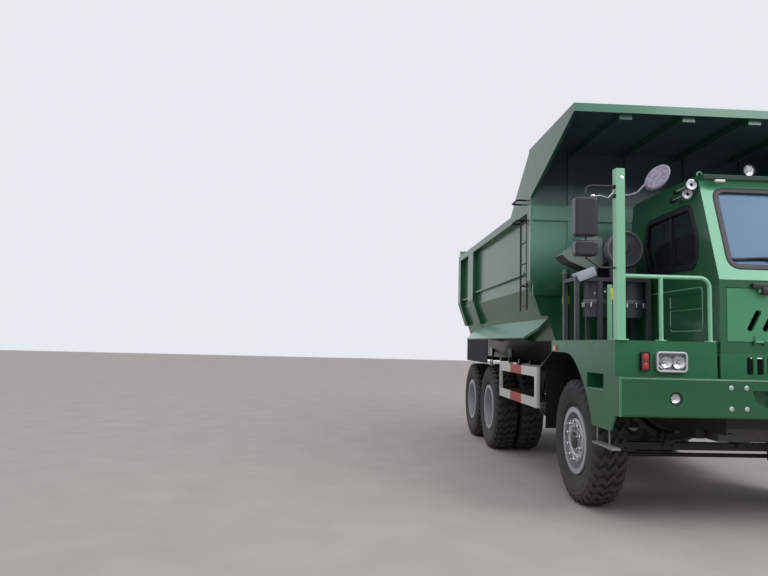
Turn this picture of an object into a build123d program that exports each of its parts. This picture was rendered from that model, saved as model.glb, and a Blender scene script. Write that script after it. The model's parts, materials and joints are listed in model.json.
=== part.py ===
from build123d import *
import os
from math import atan2, cos, degrees, hypot, pi, sin

# Three-axle heavy dump truck with an offset cab and a full-width body canopy.
# Frame: +X forward, +Y to the driver's left, +Z up, in millimetres. The origin is on the ground, below
# the centre of the truck's length and width.

# Overall sizes
LENGTH = 8150
WIDTH = 3840  # over the mirrors
BODY_WIDTH = 3400
HEIGHT = 4330
X_FRONT = LENGTH / 2
X_REAR = -LENGTH / 2
MIRROR_HALF = 110
MIRROR_LINE_Y = WIDTH / 2 - MIRROR_HALF
MIRROR_REACH = 260  # from the edge of the deck out to the mirrors
DECK_HALF_WIDTH = MIRROR_LINE_Y - MIRROR_REACH

# Axles and wheels
FRONT_OVERHANG = 1450
WHEELBASE = 3800
BOGIE_SPREAD = 1500
X_AXLE_1 = X_FRONT - FRONT_OVERHANG
X_AXLE_2 = X_AXLE_1 - WHEELBASE
X_AXLE_3 = X_AXLE_2 - BOGIE_SPREAD
TYRE_RADIUS = 684
TYRE_WIDTH = 375
BEAD_RADIUS = 330
FLANGE_RADIUS = 367
RIM_HALF_WIDTH = 167
RIM_WALL = 18
LUG_COUNT = 20
LUG_DEPTH = 29
FRONT_TYRE_Y = DECK_HALF_WIDTH - 240
KINGPIN_Y = FRONT_TYRE_Y - 290
INNER_TYRE_Y = 1040
OUTER_TYRE_Y = 1460
RUNNING_GAP = 0.3
PIN_GAP = 0.3
CLEAR = 6

# Frame rails
RAIL_Y = 430
RAIL_WIDTH = 90
RAIL_BOTTOM = 930
RAIL_TOP = 1250
RAIL_FRONT = X_FRONT - 160
EAR_THICK = 40
TIP_PIN_RADIUS = 35
RAIL_REAR = X_REAR + 460

# Bumper and front deck
BUMPER_WIDTH = 2 * DECK_HALF_WIDTH
BUMPER_DEPTH = 130
BOLT_ROOM = 12
BUMPER_FACE = X_FRONT - BOLT_ROOM
BUMPER_ROUND = 22
BUMPER_BOTTOM = 1100
BUMPER_TOP = 1465
PANEL_X = X_FRONT - BUMPER_DEPTH
DECK_TOP = 1800
DECK_SHEET = 30
SKIN = 20
DECK_REAR = X_FRONT - 2040
SKIRT_BOTTOM = 945

# Cab
CAB_RIGHT = -535
CAB_LEFT = DECK_HALF_WIDTH - 70
CAB_FRONT = PANEL_X
CAB_REAR = X_FRONT - 2045
CAB_FLOOR = 1700
CAB_WALL = 50
BELT_HEIGHT = 2400
EAVES_HEIGHT = 3400
EAVES_X = X_FRONT - 460
ROOF_HEIGHT = EAVES_HEIGHT + 100
ROOF_SHEET = 60
SHOULDER_HEIGHT = ROOF_HEIGHT - 280
SHOULDER_LEAN = 55
VISOR_X = X_FRONT - 370
DOOR_FRONT = X_FRONT - 655
DOOR_REAR = DOOR_FRONT - 1000
DOOR_GAP = 6

# Load body
BODY_FRONT = X_FRONT - 2480
BODY_WALL = 40
BODY_FLOOR = 1500
BODY_TOP = 3600
POST_HALF_WIDTH = BODY_WIDTH / 2
PANEL_HALF_WIDTH = 1610
GATE_DEPTH = 70
BODY_REAR = X_REAR + GATE_DEPTH + CLEAR
TIP_X = X_REAR + 525
TIP_Z = 1330
CANOPY_FRONT = X_FRONT - 810
CANOPY_SHEET = 40

# Hoist cylinders, as the side view gives them
HOIST_Y = 230
HOIST_BASE_X = X_FRONT - 2775
HOIST_BASE_Z = 800
HOIST_EYE_X = TIP_X + 2050
HOIST_EYE_Z = 1400
HOIST_BORE = 95
HOIST_ROD = 60

# Side guards
GUARD_Y = 1600
GUARD_FRONT = X_FRONT - 2500
GUARD_REAR = X_AXLE_2 + TYRE_RADIUS - 4
GUARD_BOTTOM = 930
GUARD_TOP = 1450


def block(x0, x1, y0, y1, z0, z1):
    """Box between two corners."""
    return Pos((x0 + x1) / 2, (y0 + y1) / 2, (z0 + z1) / 2) * Box(abs(x1 - x0), abs(y1 - y0), abs(z1 - z0))


def side_plate(points, y0, y1, corner=0.0):
    """Outline of (x, z) points, its corners rounded, carried across from y0 to y1."""
    face = make_face(Polyline(*[(x, y0, z) for x, z in points], close=True))
    plate = extrude(face, amount=y1 - y0, dir=(0, 1, 0))
    return fillet(plate.edges().filter_by(Axis.Y), corner) if corner else plate


def cross_plate(points, x0, x1):
    """Outline of (y, z) points carried along from x0 to x1."""
    face = make_face(Polyline(*[(x0, y, z) for y, z in points], close=True))
    return extrude(face, amount=x1 - x0, dir=(1, 0, 0))


def flat_plate(points, z0, z1):
    """Outline of (x, y) points carried up from z0 to z1."""
    face = make_face(Polyline(*[(x, y, z0) for x, y in points], close=True))
    return extrude(face, amount=z1 - z0, dir=(0, 0, 1))


def bar(start, end, radius):
    """Round bar from one point to another."""
    start, end = Vector(*start), Vector(*end)
    axis = end - start
    place = Plane(origin=start, z_dir=axis)
    return place * Cylinder(radius, axis.length, align=(Align.CENTER, Align.CENTER, Align.MIN))


def turned(points, x, y, z):
    """Profile of (radius, across) points turned about a line along Y through x, z."""
    face = make_face(Polyline(*[(r, a, 0) for r, a in points], close=True))
    return Pos(x, y, z) * revolve(face, axis=Axis.Y, revolution_arc=360)


def tube(points, radius, bend):
    """Round tube along a line of points with a bend at each corner."""
    path = FilletPolyline(*points, radius=bend)
    return sweep(Plane(origin=path @ 0, z_dir=path % 0) * Circle(radius), path=path)


def band(points, thickness):
    """Closed outline of a sheet: an open line of points and the same line moved to its left."""
    moved = []
    for i, point in enumerate(points):
        near = points[max(i - 1, 0):i + 2]
        ways = []
        for a, b in zip(near, near[1:]):
            run = hypot(b[0] - a[0], b[1] - a[1])
            ways.append(((b[0] - a[0]) / run, (b[1] - a[1]) / run))
        first, last = ways[0], ways[-1]
        reach = thickness / (1 + first[0] * last[0] + first[1] * last[1])
        moved.append((point[0] - reach * (first[1] + last[1]), point[1] + reach * (first[0] + last[0])))
    return points + moved[::-1]


def mirrored(shape):
    """The same piece on the other side of the truck."""
    return mirror(shape, about=Plane.XZ)


def both_sides(shape):
    """A left piece together with its right twin, as solids of one node."""
    return shape + mirrored(shape)


# Wheels

def ring(radius, across):
    """Flat-sided outline round the wheel's axis, one flat for each lug, with the flats at the radius."""
    step = 2 * pi / LUG_COUNT
    corner = radius / cos(step / 2)
    turns = [(i + 0.5) * step for i in range(LUG_COUNT)]
    return make_face(Polyline(*[(corner * cos(t), across, corner * sin(t)) for t in turns], close=True))


def cone(inner, outer, side):
    """Flat-sided cone between two (radius, across) sizes on one side of the wheel."""
    return loft([ring(inner[0], side * inner[1]), ring(outer[0], side * outer[1])], ruled=True)


def tread(half):
    """Band of lugs across the tyre: a flat top on each lug and a groove between two lugs."""
    step = 2 * pi / LUG_COUNT
    lug, groove = 0.35 * step, 0.39 * step
    corners = []
    for i in range(LUG_COUNT):
        for radius, turn in ((TYRE_RADIUS - LUG_DEPTH, -groove), (TYRE_RADIUS / cos(lug), -lug),
                             (TYRE_RADIUS / cos(lug), lug), (TYRE_RADIUS - LUG_DEPTH, groove)):
            angle = i * step + turn
            corners.append((radius * cos(angle), -half, radius * sin(angle)))
    return extrude(make_face(Polyline(*corners, close=True)), amount=2 * half, dir=(0, 1, 0))


def tyre(x, y):
    """Tyre with bulged side walls and cross lugs, seated on its rim between the flanges."""
    shoulder = (TYRE_RADIUS - LUG_DEPTH - 15, TYRE_WIDTH / 2 - 18)
    bulge = (TYRE_RADIUS - 164, TYRE_WIDTH / 2)
    bead = (BEAD_RADIUS, RIM_HALF_WIDTH - 32)
    shape = tread(shoulder[1])
    for side in (1, -1):
        shape += cone(shoulder, bulge, side)
        shape -= cone(bead, (bulge[0] + 1, bulge[1] + 0.3), side)
    bore = ring(BEAD_RADIUS, -TYRE_WIDTH)
    return Pos(x, y, TYRE_RADIUS) * (shape - extrude(bore, amount=2 * TYRE_WIDTH, dir=(0, 1, 0)))


def rim_barrel(y):
    """Rim well and its two flanges, as (radius, across) points."""
    inner = BEAD_RADIUS - RIM_WALL
    flange = RIM_HALF_WIDTH - 20
    return [
        (inner, y - RIM_HALF_WIDTH), (FLANGE_RADIUS, y - RIM_HALF_WIDTH), (FLANGE_RADIUS, y - flange),
        (BEAD_RADIUS, y - flange), (BEAD_RADIUS, y + flange), (FLANGE_RADIUS, y + flange),
        (FLANGE_RADIUS, y + RIM_HALF_WIDTH), (inner, y + RIM_HALF_WIDTH)]


SPINDLE_RADIUS = 45
RIM_HOLES = 10
HOLE_RING = 272
HOLE_RADIUS = 25
FRONT_HUB_INNER = FRONT_TYRE_Y - 145
FRONT_SPINDLE_END = FRONT_TYRE_Y + 60


def front_rim(x):
    """Left front rim: well, convex disc, hub and brake drum on one axis."""
    inner = BEAD_RADIUS - RIM_WALL
    shape = turned(rim_barrel(FRONT_TYRE_Y), x, 0, TYRE_RADIUS)
    face = FRONT_TYRE_Y + 70
    disc = [(100, face + 30), (100, face + 12), (230, face + 12), (inner + 1, face - 20), (inner + 1, face),
            (235, face + 30)]
    shape += turned(disc, x, 0, TYRE_RADIUS)
    hub = [(SPINDLE_RADIUS + PIN_GAP, FRONT_HUB_INNER), (200, FRONT_HUB_INNER), (200, FRONT_TYRE_Y + 20),
           (150, FRONT_TYRE_Y + 20), (150, face + 40), (110, face + 50), (105, face + 90), (0, face + 95),
           (0, FRONT_SPINDLE_END + 5), (SPINDLE_RADIUS + PIN_GAP, FRONT_SPINDLE_END + 5)]
    shape += turned(hub, x, 0, TYRE_RADIUS)
    for i in range(RIM_HOLES):
        turn = 2 * pi * i / RIM_HOLES
        spot = (x + HOLE_RING * cos(turn), TYRE_RADIUS + HOLE_RING * sin(turn))
        shape -= bar((spot[0], face - 60, spot[1]), (spot[0], face + 60, spot[1]), HOLE_RADIUS)
    return shape


TWIN_MID_Y = (INNER_TYRE_Y + OUTER_TYRE_Y) / 2
REAR_HUB_INNER = 960
REAR_SPINDLE_END = TWIN_MID_Y + 60


def rear_rims(x):
    """Left twin rims bolted disc to disc at the middle of the pair, with their hub."""
    inner = BEAD_RADIUS - RIM_WALL
    shape = turned(rim_barrel(OUTER_TYRE_Y), x, 0, TYRE_RADIUS)
    shape += turned(rim_barrel(INNER_TYRE_Y), x, 0, TYRE_RADIUS)
    dish = [(140, TWIN_MID_Y), (250, TWIN_MID_Y), (inner + 1, OUTER_TYRE_Y - RIM_HALF_WIDTH),
            (inner + 1, OUTER_TYRE_Y - RIM_HALF_WIDTH + 60), (245, TWIN_MID_Y + 20), (140, TWIN_MID_Y + 20)]
    shape += turned(dish, x, 0, TYRE_RADIUS)
    shape += turned([(r, 2 * TWIN_MID_Y - a) for r, a in dish], x, 0, TYRE_RADIUS)
    hub = [(SPINDLE_RADIUS + PIN_GAP, REAR_HUB_INNER), (210, REAR_HUB_INNER), (210, TWIN_MID_Y - 60),
           (150, TWIN_MID_Y - 60), (150, TWIN_MID_Y + 60), (120, TWIN_MID_Y + 110), (115, TWIN_MID_Y + 190),
           (0, TWIN_MID_Y + 200), (0, REAR_SPINDLE_END + 5), (SPINDLE_RADIUS + PIN_GAP, REAR_SPINDLE_END + 5)]
    return shape + turned(hub, x, 0, TYRE_RADIUS)


# Front axle and steering

BEAM_TOP = 700
BEAM_BOTTOM = 580
EAR = 45
KINGPIN_RADIUS = 28
ARM_REACH = 230
SPRING_WIDTH = 90
SEAT_THICK = 15


def front_axle_beam():
    """Beam between the kingpins, with an eye for each pin and two spring seats."""
    half = KINGPIN_Y
    beam = block(X_AXLE_1 - 55, X_AXLE_1 + 55, -half + 40, half - 40, BEAM_BOTTOM + 20, BEAM_TOP - 20)
    for side in (1, -1):
        eye = Pos(X_AXLE_1, side * half, (BEAM_TOP + BEAM_BOTTOM) / 2)
        beam += eye * Cylinder(55, BEAM_TOP - BEAM_BOTTOM)
        beam -= eye * Cylinder(KINGPIN_RADIUS + PIN_GAP, 400)
        y0, y1 = side * RAIL_Y - 60, side * RAIL_Y + 60
        beam += block(X_AXLE_1 - 110, X_AXLE_1 + 110, y0, y1, BEAM_TOP - 30, BEAM_TOP + SEAT_THICK)
    return beam


def knuckle():
    """Left steering knuckle: fork, kingpin, stub axle and steering arm."""
    low = BEAM_BOTTOM - PIN_GAP
    high = BEAM_TOP + PIN_GAP
    outer = FRONT_HUB_INNER - RUNNING_GAP
    x, y = X_AXLE_1, KINGPIN_Y
    shape = Pos(x, y, (low + high) / 2) * Cylinder(KINGPIN_RADIUS, high - low + EAR)
    for z0, z1 in ((low - EAR, low), (high, high + EAR)):
        shape += Pos(x, y, (z0 + z1) / 2) * Cylinder(60, z1 - z0)
        shape += block(x - 60, x + 60, y, outer - 40, z0, z1)
    shape += block(x - 60, x + 60, y + 62, outer - 40, low - EAR, high + EAR)
    shape += bar((x, outer - 40, TYRE_RADIUS), (x, outer, TYRE_RADIUS), 110)
    shape += bar((x, outer - 40, TYRE_RADIUS), (x, FRONT_SPINDLE_END, TYRE_RADIUS), SPINDLE_RADIUS)
    arm = flat_plate([(x - 50, y + 110), (x - ARM_REACH - 40, y + 10), (x - ARM_REACH - 40, y - 50),
                      (x - ARM_REACH + 40, y - 50), (x - 50, y + 62)], low - EAR, low)
    return shape + arm


def tie_rod():
    """Rod across the truck under the two steering arms."""
    top = BEAM_BOTTOM - PIN_GAP - EAR - PIN_GAP
    x = X_AXLE_1 - ARM_REACH
    half = KINGPIN_Y - 20
    rod = bar((x, -half, top - 30), (x, half, top - 30), 24)
    for side in (1, -1):
        rod += Pos(x, side * half, top - 30) * Cylinder(36, 60)
    return rod


SPRING_FRONT = X_AXLE_1 + 700
SPRING_REAR = X_AXLE_1 - 700
SPRING_THICK = 70


def front_springs():
    """One leaf pack on each side under the frame rail, held by a hanger at each end."""
    low = BEAM_TOP + SEAT_THICK
    line = [(SPRING_REAR, low + 130), (X_AXLE_1 - 380, low + 45), (X_AXLE_1 - 110, low),
            (X_AXLE_1 + 110, low), (X_AXLE_1 + 380, low + 45), (SPRING_FRONT, low + 130)]
    pack = side_plate(band(line, SPRING_THICK), RAIL_Y - SPRING_WIDTH / 2, RAIL_Y + SPRING_WIDTH / 2)
    for x in (SPRING_REAR, SPRING_FRONT):
        pack += block(x - 45, x + 45, RAIL_Y - SPRING_WIDTH / 2, RAIL_Y + SPRING_WIDTH / 2,
                      low + 110, RAIL_BOTTOM)
    return both_sides(pack)


# Rear axles and bogie

AXLE_TUBE = 85
AXLE_BOWL = 205
AXLE_NOSE = 260
SHAFT_RADIUS = 55
SHAFT_Z = 860
GEARBOX_REAR = X_FRONT - 2425
GEARBOX_FRONT = X_FRONT - 1515
ENGINE_FRONT = X_FRONT - 535
BOGIE_X = (X_AXLE_2 + X_AXLE_3) / 2
BOGIE_SPRING_Y = 610
TRUNNION_Z = 800


def rear_axles():
    """Two axle casings, each with its bowl and a spindle for the hub on each end."""
    shapes = []
    for x in (X_AXLE_2, X_AXLE_3):
        end = REAR_HUB_INNER - RUNNING_GAP
        casing = bar((x, -end, TYRE_RADIUS), (x, end, TYRE_RADIUS), AXLE_TUBE)
        casing += bar((x, -REAR_SPINDLE_END, TYRE_RADIUS), (x, REAR_SPINDLE_END, TYRE_RADIUS), SPINDLE_RADIUS)
        casing += Pos(x, 0, TYRE_RADIUS) * Sphere(AXLE_BOWL)
        casing += bar((x, 0, TYRE_RADIUS), (x + AXLE_NOSE, 0, TYRE_RADIUS), 90)
        for side in (1, -1):
            casing += block(x - 90, x + 90, side * BOGIE_SPRING_Y - 60, side * BOGIE_SPRING_Y + 60,
                            TYRE_RADIUS, TYRE_RADIUS + AXLE_TUBE)
        shapes.append(casing)
    return shapes[0] + shapes[1]


def bogie():
    """Leaf packs that rock on a cross trunnion and rest on both axle casings, with their brackets."""
    low = TYRE_RADIUS + AXLE_TUBE
    mid = TRUNNION_Z + 60
    line = [(X_AXLE_3 - 90, low), (X_AXLE_3 + 90, low), (BOGIE_X - 140, mid), (BOGIE_X + 140, mid),
            (X_AXLE_2 - 90, low), (X_AXLE_2 + 90, low)]
    leaf = side_plate(band(line, 80), BOGIE_SPRING_Y - 50, BOGIE_SPRING_Y + 50)
    clamp = block(BOGIE_X - 100, BOGIE_X + 100, BOGIE_SPRING_Y - 60, BOGIE_SPRING_Y + 60,
                  TRUNNION_Z - 60, mid + 110)
    side = leaf + clamp
    reach = RAIL_Y + RAIL_WIDTH / 2
    bracket = side_plate([(BOGIE_X - 110, TRUNNION_Z - 90), (BOGIE_X + 110, TRUNNION_Z - 90),
                          (BOGIE_X + 260, RAIL_TOP - 40), (BOGIE_X - 260, RAIL_TOP - 40)], reach, reach + 30)
    side += bracket
    shape = both_sides(side)
    return shape + bar((BOGIE_X, -BOGIE_SPRING_Y, TRUNNION_Z), (BOGIE_X, BOGIE_SPRING_Y, TRUNNION_Z), 55)


# Frame

def frame_rails():
    """Two channel rails with their flanges turned in, and the ears for the tipping pin."""
    outer = RAIL_Y + RAIL_WIDTH / 2
    inner = RAIL_Y - RAIL_WIDTH / 2
    rail = block(RAIL_REAR, RAIL_FRONT, inner, outer, RAIL_BOTTOM, RAIL_TOP)
    rail -= block(RAIL_REAR - 1, RAIL_FRONT + 1, inner - 1, outer - 12, RAIL_BOTTOM + 14, RAIL_TOP - 14)
    ear = side_plate([(TIP_X - 90, RAIL_TOP - 200), (TIP_X + 160, RAIL_TOP - 200), (TIP_X + 160, RAIL_TOP),
                      (TIP_X + 55, TIP_Z + 55), (TIP_X - 55, TIP_Z + 55), (TIP_X - 90, RAIL_TOP)],
                     outer, outer + EAR_THICK)
    rail += ear
    rail -= bar((TIP_X, outer - 1, TIP_Z), (TIP_X, outer + EAR_THICK + 1, TIP_Z), TIP_PIN_RADIUS + PIN_GAP)
    return both_sides(rail)


CROSS_TABLE = [  # (middle x, bottom z, top z)
    (X_FRONT - 475, 960, 1220),
    (HOIST_BASE_X + 200, 700, 1220),
    (X_AXLE_2 - 225, 960, 1180),
    (X_AXLE_3 + 275, 960, 1180),
    (RAIL_REAR + 265, 960, 1220)]


def crossmembers():
    """Members between the rails, the tipping pin and the base ears of the hoist cylinders."""
    inner = RAIL_Y + RAIL_WIDTH / 2 - 12
    shape = None
    for x, low, high in CROSS_TABLE:
        member = block(x - 50, x + 50, -inner, inner, max(low, RAIL_BOTTOM + 14), min(high, RAIL_TOP - 14))
        if low < RAIL_BOTTOM:
            member += block(x - 50, x + 50, -inner + 90, inner - 90, low, RAIL_BOTTOM + 14)
        shape = member if shape is None else shape + member
    slope = (SHAFT_Z - TYRE_RADIUS) / (GEARBOX_REAR - X_AXLE_2 - AXLE_NOSE)
    hole_z = SHAFT_Z - (GEARBOX_REAR - CROSS_TABLE[1][0]) * slope
    shape -= bar((CROSS_TABLE[1][0] - 60, 0, hole_z), (CROSS_TABLE[1][0] + 60, 0, hole_z), SHAFT_RADIUS + 35)
    for side in (1, -1):
        for edge in (-75, 75):
            y = side * HOIST_Y + edge
            shape += block(HOIST_BASE_X - 50, CROSS_TABLE[1][0], y - 14, y + 14,
                           HOIST_BASE_Z - 55, HOIST_BASE_Z + 55)
        pin = side * HOIST_Y
        shape += bar((HOIST_BASE_X, pin - 85, HOIST_BASE_Z), (HOIST_BASE_X, pin + 85, HOIST_BASE_Z), 30)
    return shape


def tipping_pin():
    """Cross pin at the rear that the load body tips about."""
    reach = RAIL_Y + RAIL_WIDTH / 2 + EAR_THICK
    return bar((TIP_X, -reach, TIP_Z), (TIP_X, reach, TIP_Z), TIP_PIN_RADIUS)


def propshafts():
    """Shafts from the gearbox to the first rear axle and between the two rear axles."""
    nose = AXLE_NOSE + 4
    front = bar((GEARBOX_REAR - 1, 0, SHAFT_Z), (X_AXLE_2 + nose, 0, TYRE_RADIUS), SHAFT_RADIUS)
    rear = bar((X_AXLE_2 - AXLE_BOWL, 0, TYRE_RADIUS), (X_AXLE_3 + AXLE_NOSE, 0, TYRE_RADIUS), SHAFT_RADIUS)
    return front + rear


def engine_block():
    """Engine as one plain mass between the rails, behind the grille."""
    half = RAIL_Y - RAIL_WIDTH / 2 - 45
    return block(GEARBOX_FRONT, ENGINE_FRONT, -half, half, 820, 1640)


def radiator():
    """Radiator core across the frame rails, behind the grille slots."""
    half = RAIL_Y + RAIL_WIDTH / 2
    return block(ENGINE_FRONT + 30, ENGINE_FRONT + 110, -half, half, RAIL_TOP, CAB_FLOOR - 50)


def gearbox():
    """Gearbox behind the engine, on the shaft line."""
    half = RAIL_Y - RAIL_WIDTH / 2 - 105
    return block(GEARBOX_REAR, GEARBOX_FRONT, -half, half, 720, 1180)


# Bumper, decks and cab

TOW_LINE = [  # (half width, height) of the tow opening
    (308, 1361), (276, 1255), (173, 1205)]
TOW_DEPTH = 100
TOW_PIN_RADIUS = 25
FOG_Y = DECK_HALF_WIDTH - 520
FOG_Z = 1274
FOG_RADIUS = 60
FOG_DEPTH = 40


def bumper():
    """Full-width bumper with a chamfered tow opening and a tow jaw with a pin hole."""
    half = BUMPER_WIDTH / 2
    shape = block(PANEL_X, BUMPER_FACE, -half, half, BUMPER_BOTTOM, BUMPER_TOP)
    shape = fillet(shape.faces().sort_by(Axis.X)[-1].edges(), BUMPER_ROUND)
    hole = [(y, z) for y, z in TOW_LINE] + [(-y, z) for y, z in TOW_LINE[::-1]]
    shape -= cross_plate(hole, X_FRONT - TOW_DEPTH, X_FRONT + 1)
    for z in (TOW_LINE[2][1] + 20, TOW_LINE[0][1] - 50):
        shape += block(X_FRONT - TOW_DEPTH - 1, X_FRONT, -70, 70, z, z + 30)
    shape -= bar((X_FRONT - 50, 0, BUMPER_BOTTOM + 50), (X_FRONT - 50, 0, BUMPER_TOP + 1), TOW_PIN_RADIUS)
    for side in (1, -1):
        lamp = (FOG_Y * side, FOG_Z)
        shape -= bar((X_FRONT - FOG_DEPTH, *lamp), (X_FRONT + 1, *lamp), FOG_RADIUS + 2)
    for side in (1, -1):
        y = side * RAIL_Y
        web = block(RAIL_FRONT - 40, PANEL_X, y - 30, y + 30, BUMPER_BOTTOM, RAIL_TOP - 14)
        web -= block(RAIL_REAR, RAIL_FRONT, y - 200, y + 200, RAIL_BOTTOM, RAIL_TOP)
        shape += web
    return shape


ARCH = [  # (x, z) of the wheel opening's edge in the side skin, from the rear to the front
    (DECK_REAR, 1665), (X_AXLE_1 - 100, 1662), (X_AXLE_1 + 50, 1645), (X_AXLE_1 + 175, 1602),
    (X_AXLE_1 + 285, 1535), (X_AXLE_1 + 395, 1440), (X_AXLE_1 + 500, 1335), (X_AXLE_1 + 585, 1235),
    (X_AXLE_1 + 655, 1120), (X_AXLE_1 + 705, 1015), (X_AXLE_1 + 733, SKIRT_BOTTOM)]


def side_skin(top):
    """Outline of the skin beside the front wheel, up to the given height."""
    low = BUMPER_BOTTOM - 5
    return ARCH + [(X_FRONT - 250, SKIRT_BOTTOM), (PANEL_X - 15, low), (PANEL_X, low), (PANEL_X, top),
                   (DECK_REAR, top)]


RECESS = (X_AXLE_1 + 600, X_AXLE_1 + 1040, 1310, 1470)
RECESS_DEPTH = 150


def foot_recess(shape):
    """The right skin with a foothold let into it: a box behind the skin, open to the outside."""
    x0, x1, z0, z1 = RECESS
    edge = -DECK_HALF_WIDTH
    shape -= block(x0, x1, edge - 1, edge + SKIN + 1, z0, z1)
    pocket = block(x0 - SKIN, x1 + SKIN, edge + SKIN, edge + RECESS_DEPTH + SKIN, z0 - SKIN, z1 + SKIN)
    return shape + (pocket - block(x0, x1, edge - 1, edge + RECESS_DEPTH, z0, z1))


def deck_right():
    """Right deck: top sheet, front panel and the skin beside the wheel, with a foot recess."""
    edge = -DECK_HALF_WIDTH
    inner = CAB_RIGHT - 35
    shape = side_plate(side_skin(DECK_TOP), edge, edge + SKIN)
    shape += block(DECK_REAR, PANEL_X, edge, inner, DECK_TOP - DECK_SHEET, DECK_TOP)
    shape += block(PANEL_X - SKIN, PANEL_X, edge, inner, BUMPER_TOP - 50, DECK_TOP)
    return foot_recess(shape)


GRILLE_SLOTS = 6
GRILLE_PITCH = 100


def fender_left():
    """Left skin beside the front wheel, under the cab, with its top sheet and front return."""
    edge = DECK_HALF_WIDTH
    top = CAB_FLOOR
    shape = mirrored(foot_recess(side_plate(side_skin(top), -edge, -edge + SKIN)))
    shape += block(DECK_REAR, PANEL_X, CAB_RIGHT, edge, top - DECK_SHEET, top)
    shape += block(PANEL_X - SKIN, PANEL_X, CAB_RIGHT, edge, BUMPER_TOP - 50, top)
    middle = (GRILLE_SLOTS - 1) / 2
    for i in range(GRILLE_SLOTS):
        y = (i - middle) * GRILLE_PITCH
        slot = block(PANEL_X - SKIN - 1, PANEL_X + 1, y - 33, y + 33, BUMPER_TOP + 40, top - DECK_SHEET - 5)
        shape -= fillet(slot.edges().filter_by(Axis.X), 10)
    return shape


def cab_outline():
    """Side outline of the cab above its floor, as (x, z) points."""
    eaves = ROOF_HEIGHT - ROOF_SHEET
    return [(CAB_REAR, CAB_FLOOR), (CAB_FRONT, CAB_FLOOR), (CAB_FRONT, BELT_HEIGHT), (EAVES_X, EAVES_HEIGHT),
            (EAVES_X, eaves), (CAB_REAR + SHOULDER_LEAN, eaves), (CAB_REAR, SHOULDER_HEIGHT)]


WINDOW_RIGHT = [
    (X_FRONT - 1609, 3194), (X_FRONT - 645, 3207), (X_FRONT - 515, 2860), (X_FRONT - 515, 2671),
    (X_FRONT - 581, 2571), (X_FRONT - 1565, 2595), (X_FRONT - 1670, 2904)]
WINDOW_CORNER = 60
PANEL_RIBS = [  # (rear x, front x, height) of each pressed rib in the right wall
    (X_FRONT - 1110, X_FRONT - 440, 2306), (X_FRONT - 1110, X_FRONT - 445, 2150),
    (X_FRONT - 1095, X_FRONT - 540, 1953)]
RIB_OUT = 8


def cab_right_wall():
    """Right wall with the sliding window's opening, its middle bar and the pressed ribs below it."""
    shape = side_plate(cab_outline(), CAB_RIGHT, CAB_RIGHT + CAB_WALL)
    shape -= side_plate(WINDOW_RIGHT, CAB_RIGHT - 1, CAB_RIGHT + CAB_WALL + 1, WINDOW_CORNER)
    middle = X_FRONT - 1060
    shape += block(middle - 18, middle + 18, CAB_RIGHT + 4, CAB_RIGHT + CAB_WALL / 2 - 4, 2560, 3215)
    for rear, front, height in PANEL_RIBS:
        shape += block(rear, front, CAB_RIGHT - RIB_OUT, CAB_RIGHT, height - 10, height + 10)
    rear, front, low = PANEL_RIBS[2][0], PANEL_RIBS[0][0], PANEL_RIBS[2][2]
    return shape + block(rear, front + 20, CAB_RIGHT - RIB_OUT, CAB_RIGHT, low, PANEL_RIBS[0][2])


DOOR_LINE = [(DOOR_REAR, CAB_FLOOR + 30), (DOOR_FRONT, CAB_FLOOR + 30), (DOOR_FRONT, 3300), (DOOR_REAR, 3300)]


def cab_left_wall():
    """Left wall with the door's opening."""
    shape = side_plate(cab_outline(), CAB_LEFT - CAB_WALL, CAB_LEFT)
    hole = block(DOOR_REAR - DOOR_GAP, DOOR_FRONT + DOOR_GAP, CAB_LEFT - CAB_WALL - 1, CAB_LEFT + 1,
                 DOOR_LINE[0][1] - DOOR_GAP, DOOR_LINE[2][1] + DOOR_GAP)
    return shape - hole + door_pins()


DOOR_WINDOW = [
    (DOOR_REAR + 110, 2480), (DOOR_FRONT - 90, 2480), (DOOR_FRONT - 90, 3210), (DOOR_REAR + 110, 3210)]
PANE_CORNER = 70


def cab_door():
    """Driver's door with its window opening."""
    shape = side_plate(DOOR_LINE, CAB_LEFT - CAB_WALL, CAB_LEFT)
    shape -= side_plate(DOOR_WINDOW, CAB_LEFT - CAB_WALL - 1, CAB_LEFT + 1, PANE_CORNER)
    for z in DOOR_HINGES:
        reach = HINGE_LENGTH / 2 + HINGE_EAR + 3
        shape -= bar((*DOOR_AXIS, z - reach), (*DOOR_AXIS, z + reach), HINGE_ROOM)
    handle = block(DOOR_REAR + 60, DOOR_REAR + 200, CAB_LEFT, CAB_LEFT + 25, 2300, 2335)
    return shape + handle + door_barrels()


REAR_PANE_SIDE = 300
REAR_PANE = (2550, 3100)


def rear_pane(x0, x1):
    """Rear window's outline with rounded corners, carried from x0 to x1."""
    y0, y1 = CAB_RIGHT + CAB_WALL + REAR_PANE_SIDE, CAB_LEFT - CAB_WALL - REAR_PANE_SIDE
    return fillet(block(x0, x1, y0, y1, *REAR_PANE).edges().filter_by(Axis.X), PANE_CORNER)


def cab_rear_wall():
    """Rear wall between the side walls, with the rear window's opening."""
    eaves = ROOF_HEIGHT - ROOF_SHEET
    inner = CAB_REAR + CAB_WALL
    shape = side_plate([(CAB_REAR, CAB_FLOOR), (inner, CAB_FLOOR), (inner, SHOULDER_HEIGHT),
                        (inner + SHOULDER_LEAN, eaves), (CAB_REAR + SHOULDER_LEAN, eaves),
                        (CAB_REAR, SHOULDER_HEIGHT)], CAB_RIGHT + CAB_WALL, CAB_LEFT - CAB_WALL)
    return shape - rear_pane(CAB_REAR - 1, inner + 1)


def cab_floor():
    """Floor sheet between the walls."""
    return block(CAB_REAR + CAB_WALL, CAB_FRONT - CAB_WALL, CAB_RIGHT + CAB_WALL, CAB_LEFT - CAB_WALL,
                 CAB_FLOOR, CAB_FLOOR + CAB_WALL)


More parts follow.
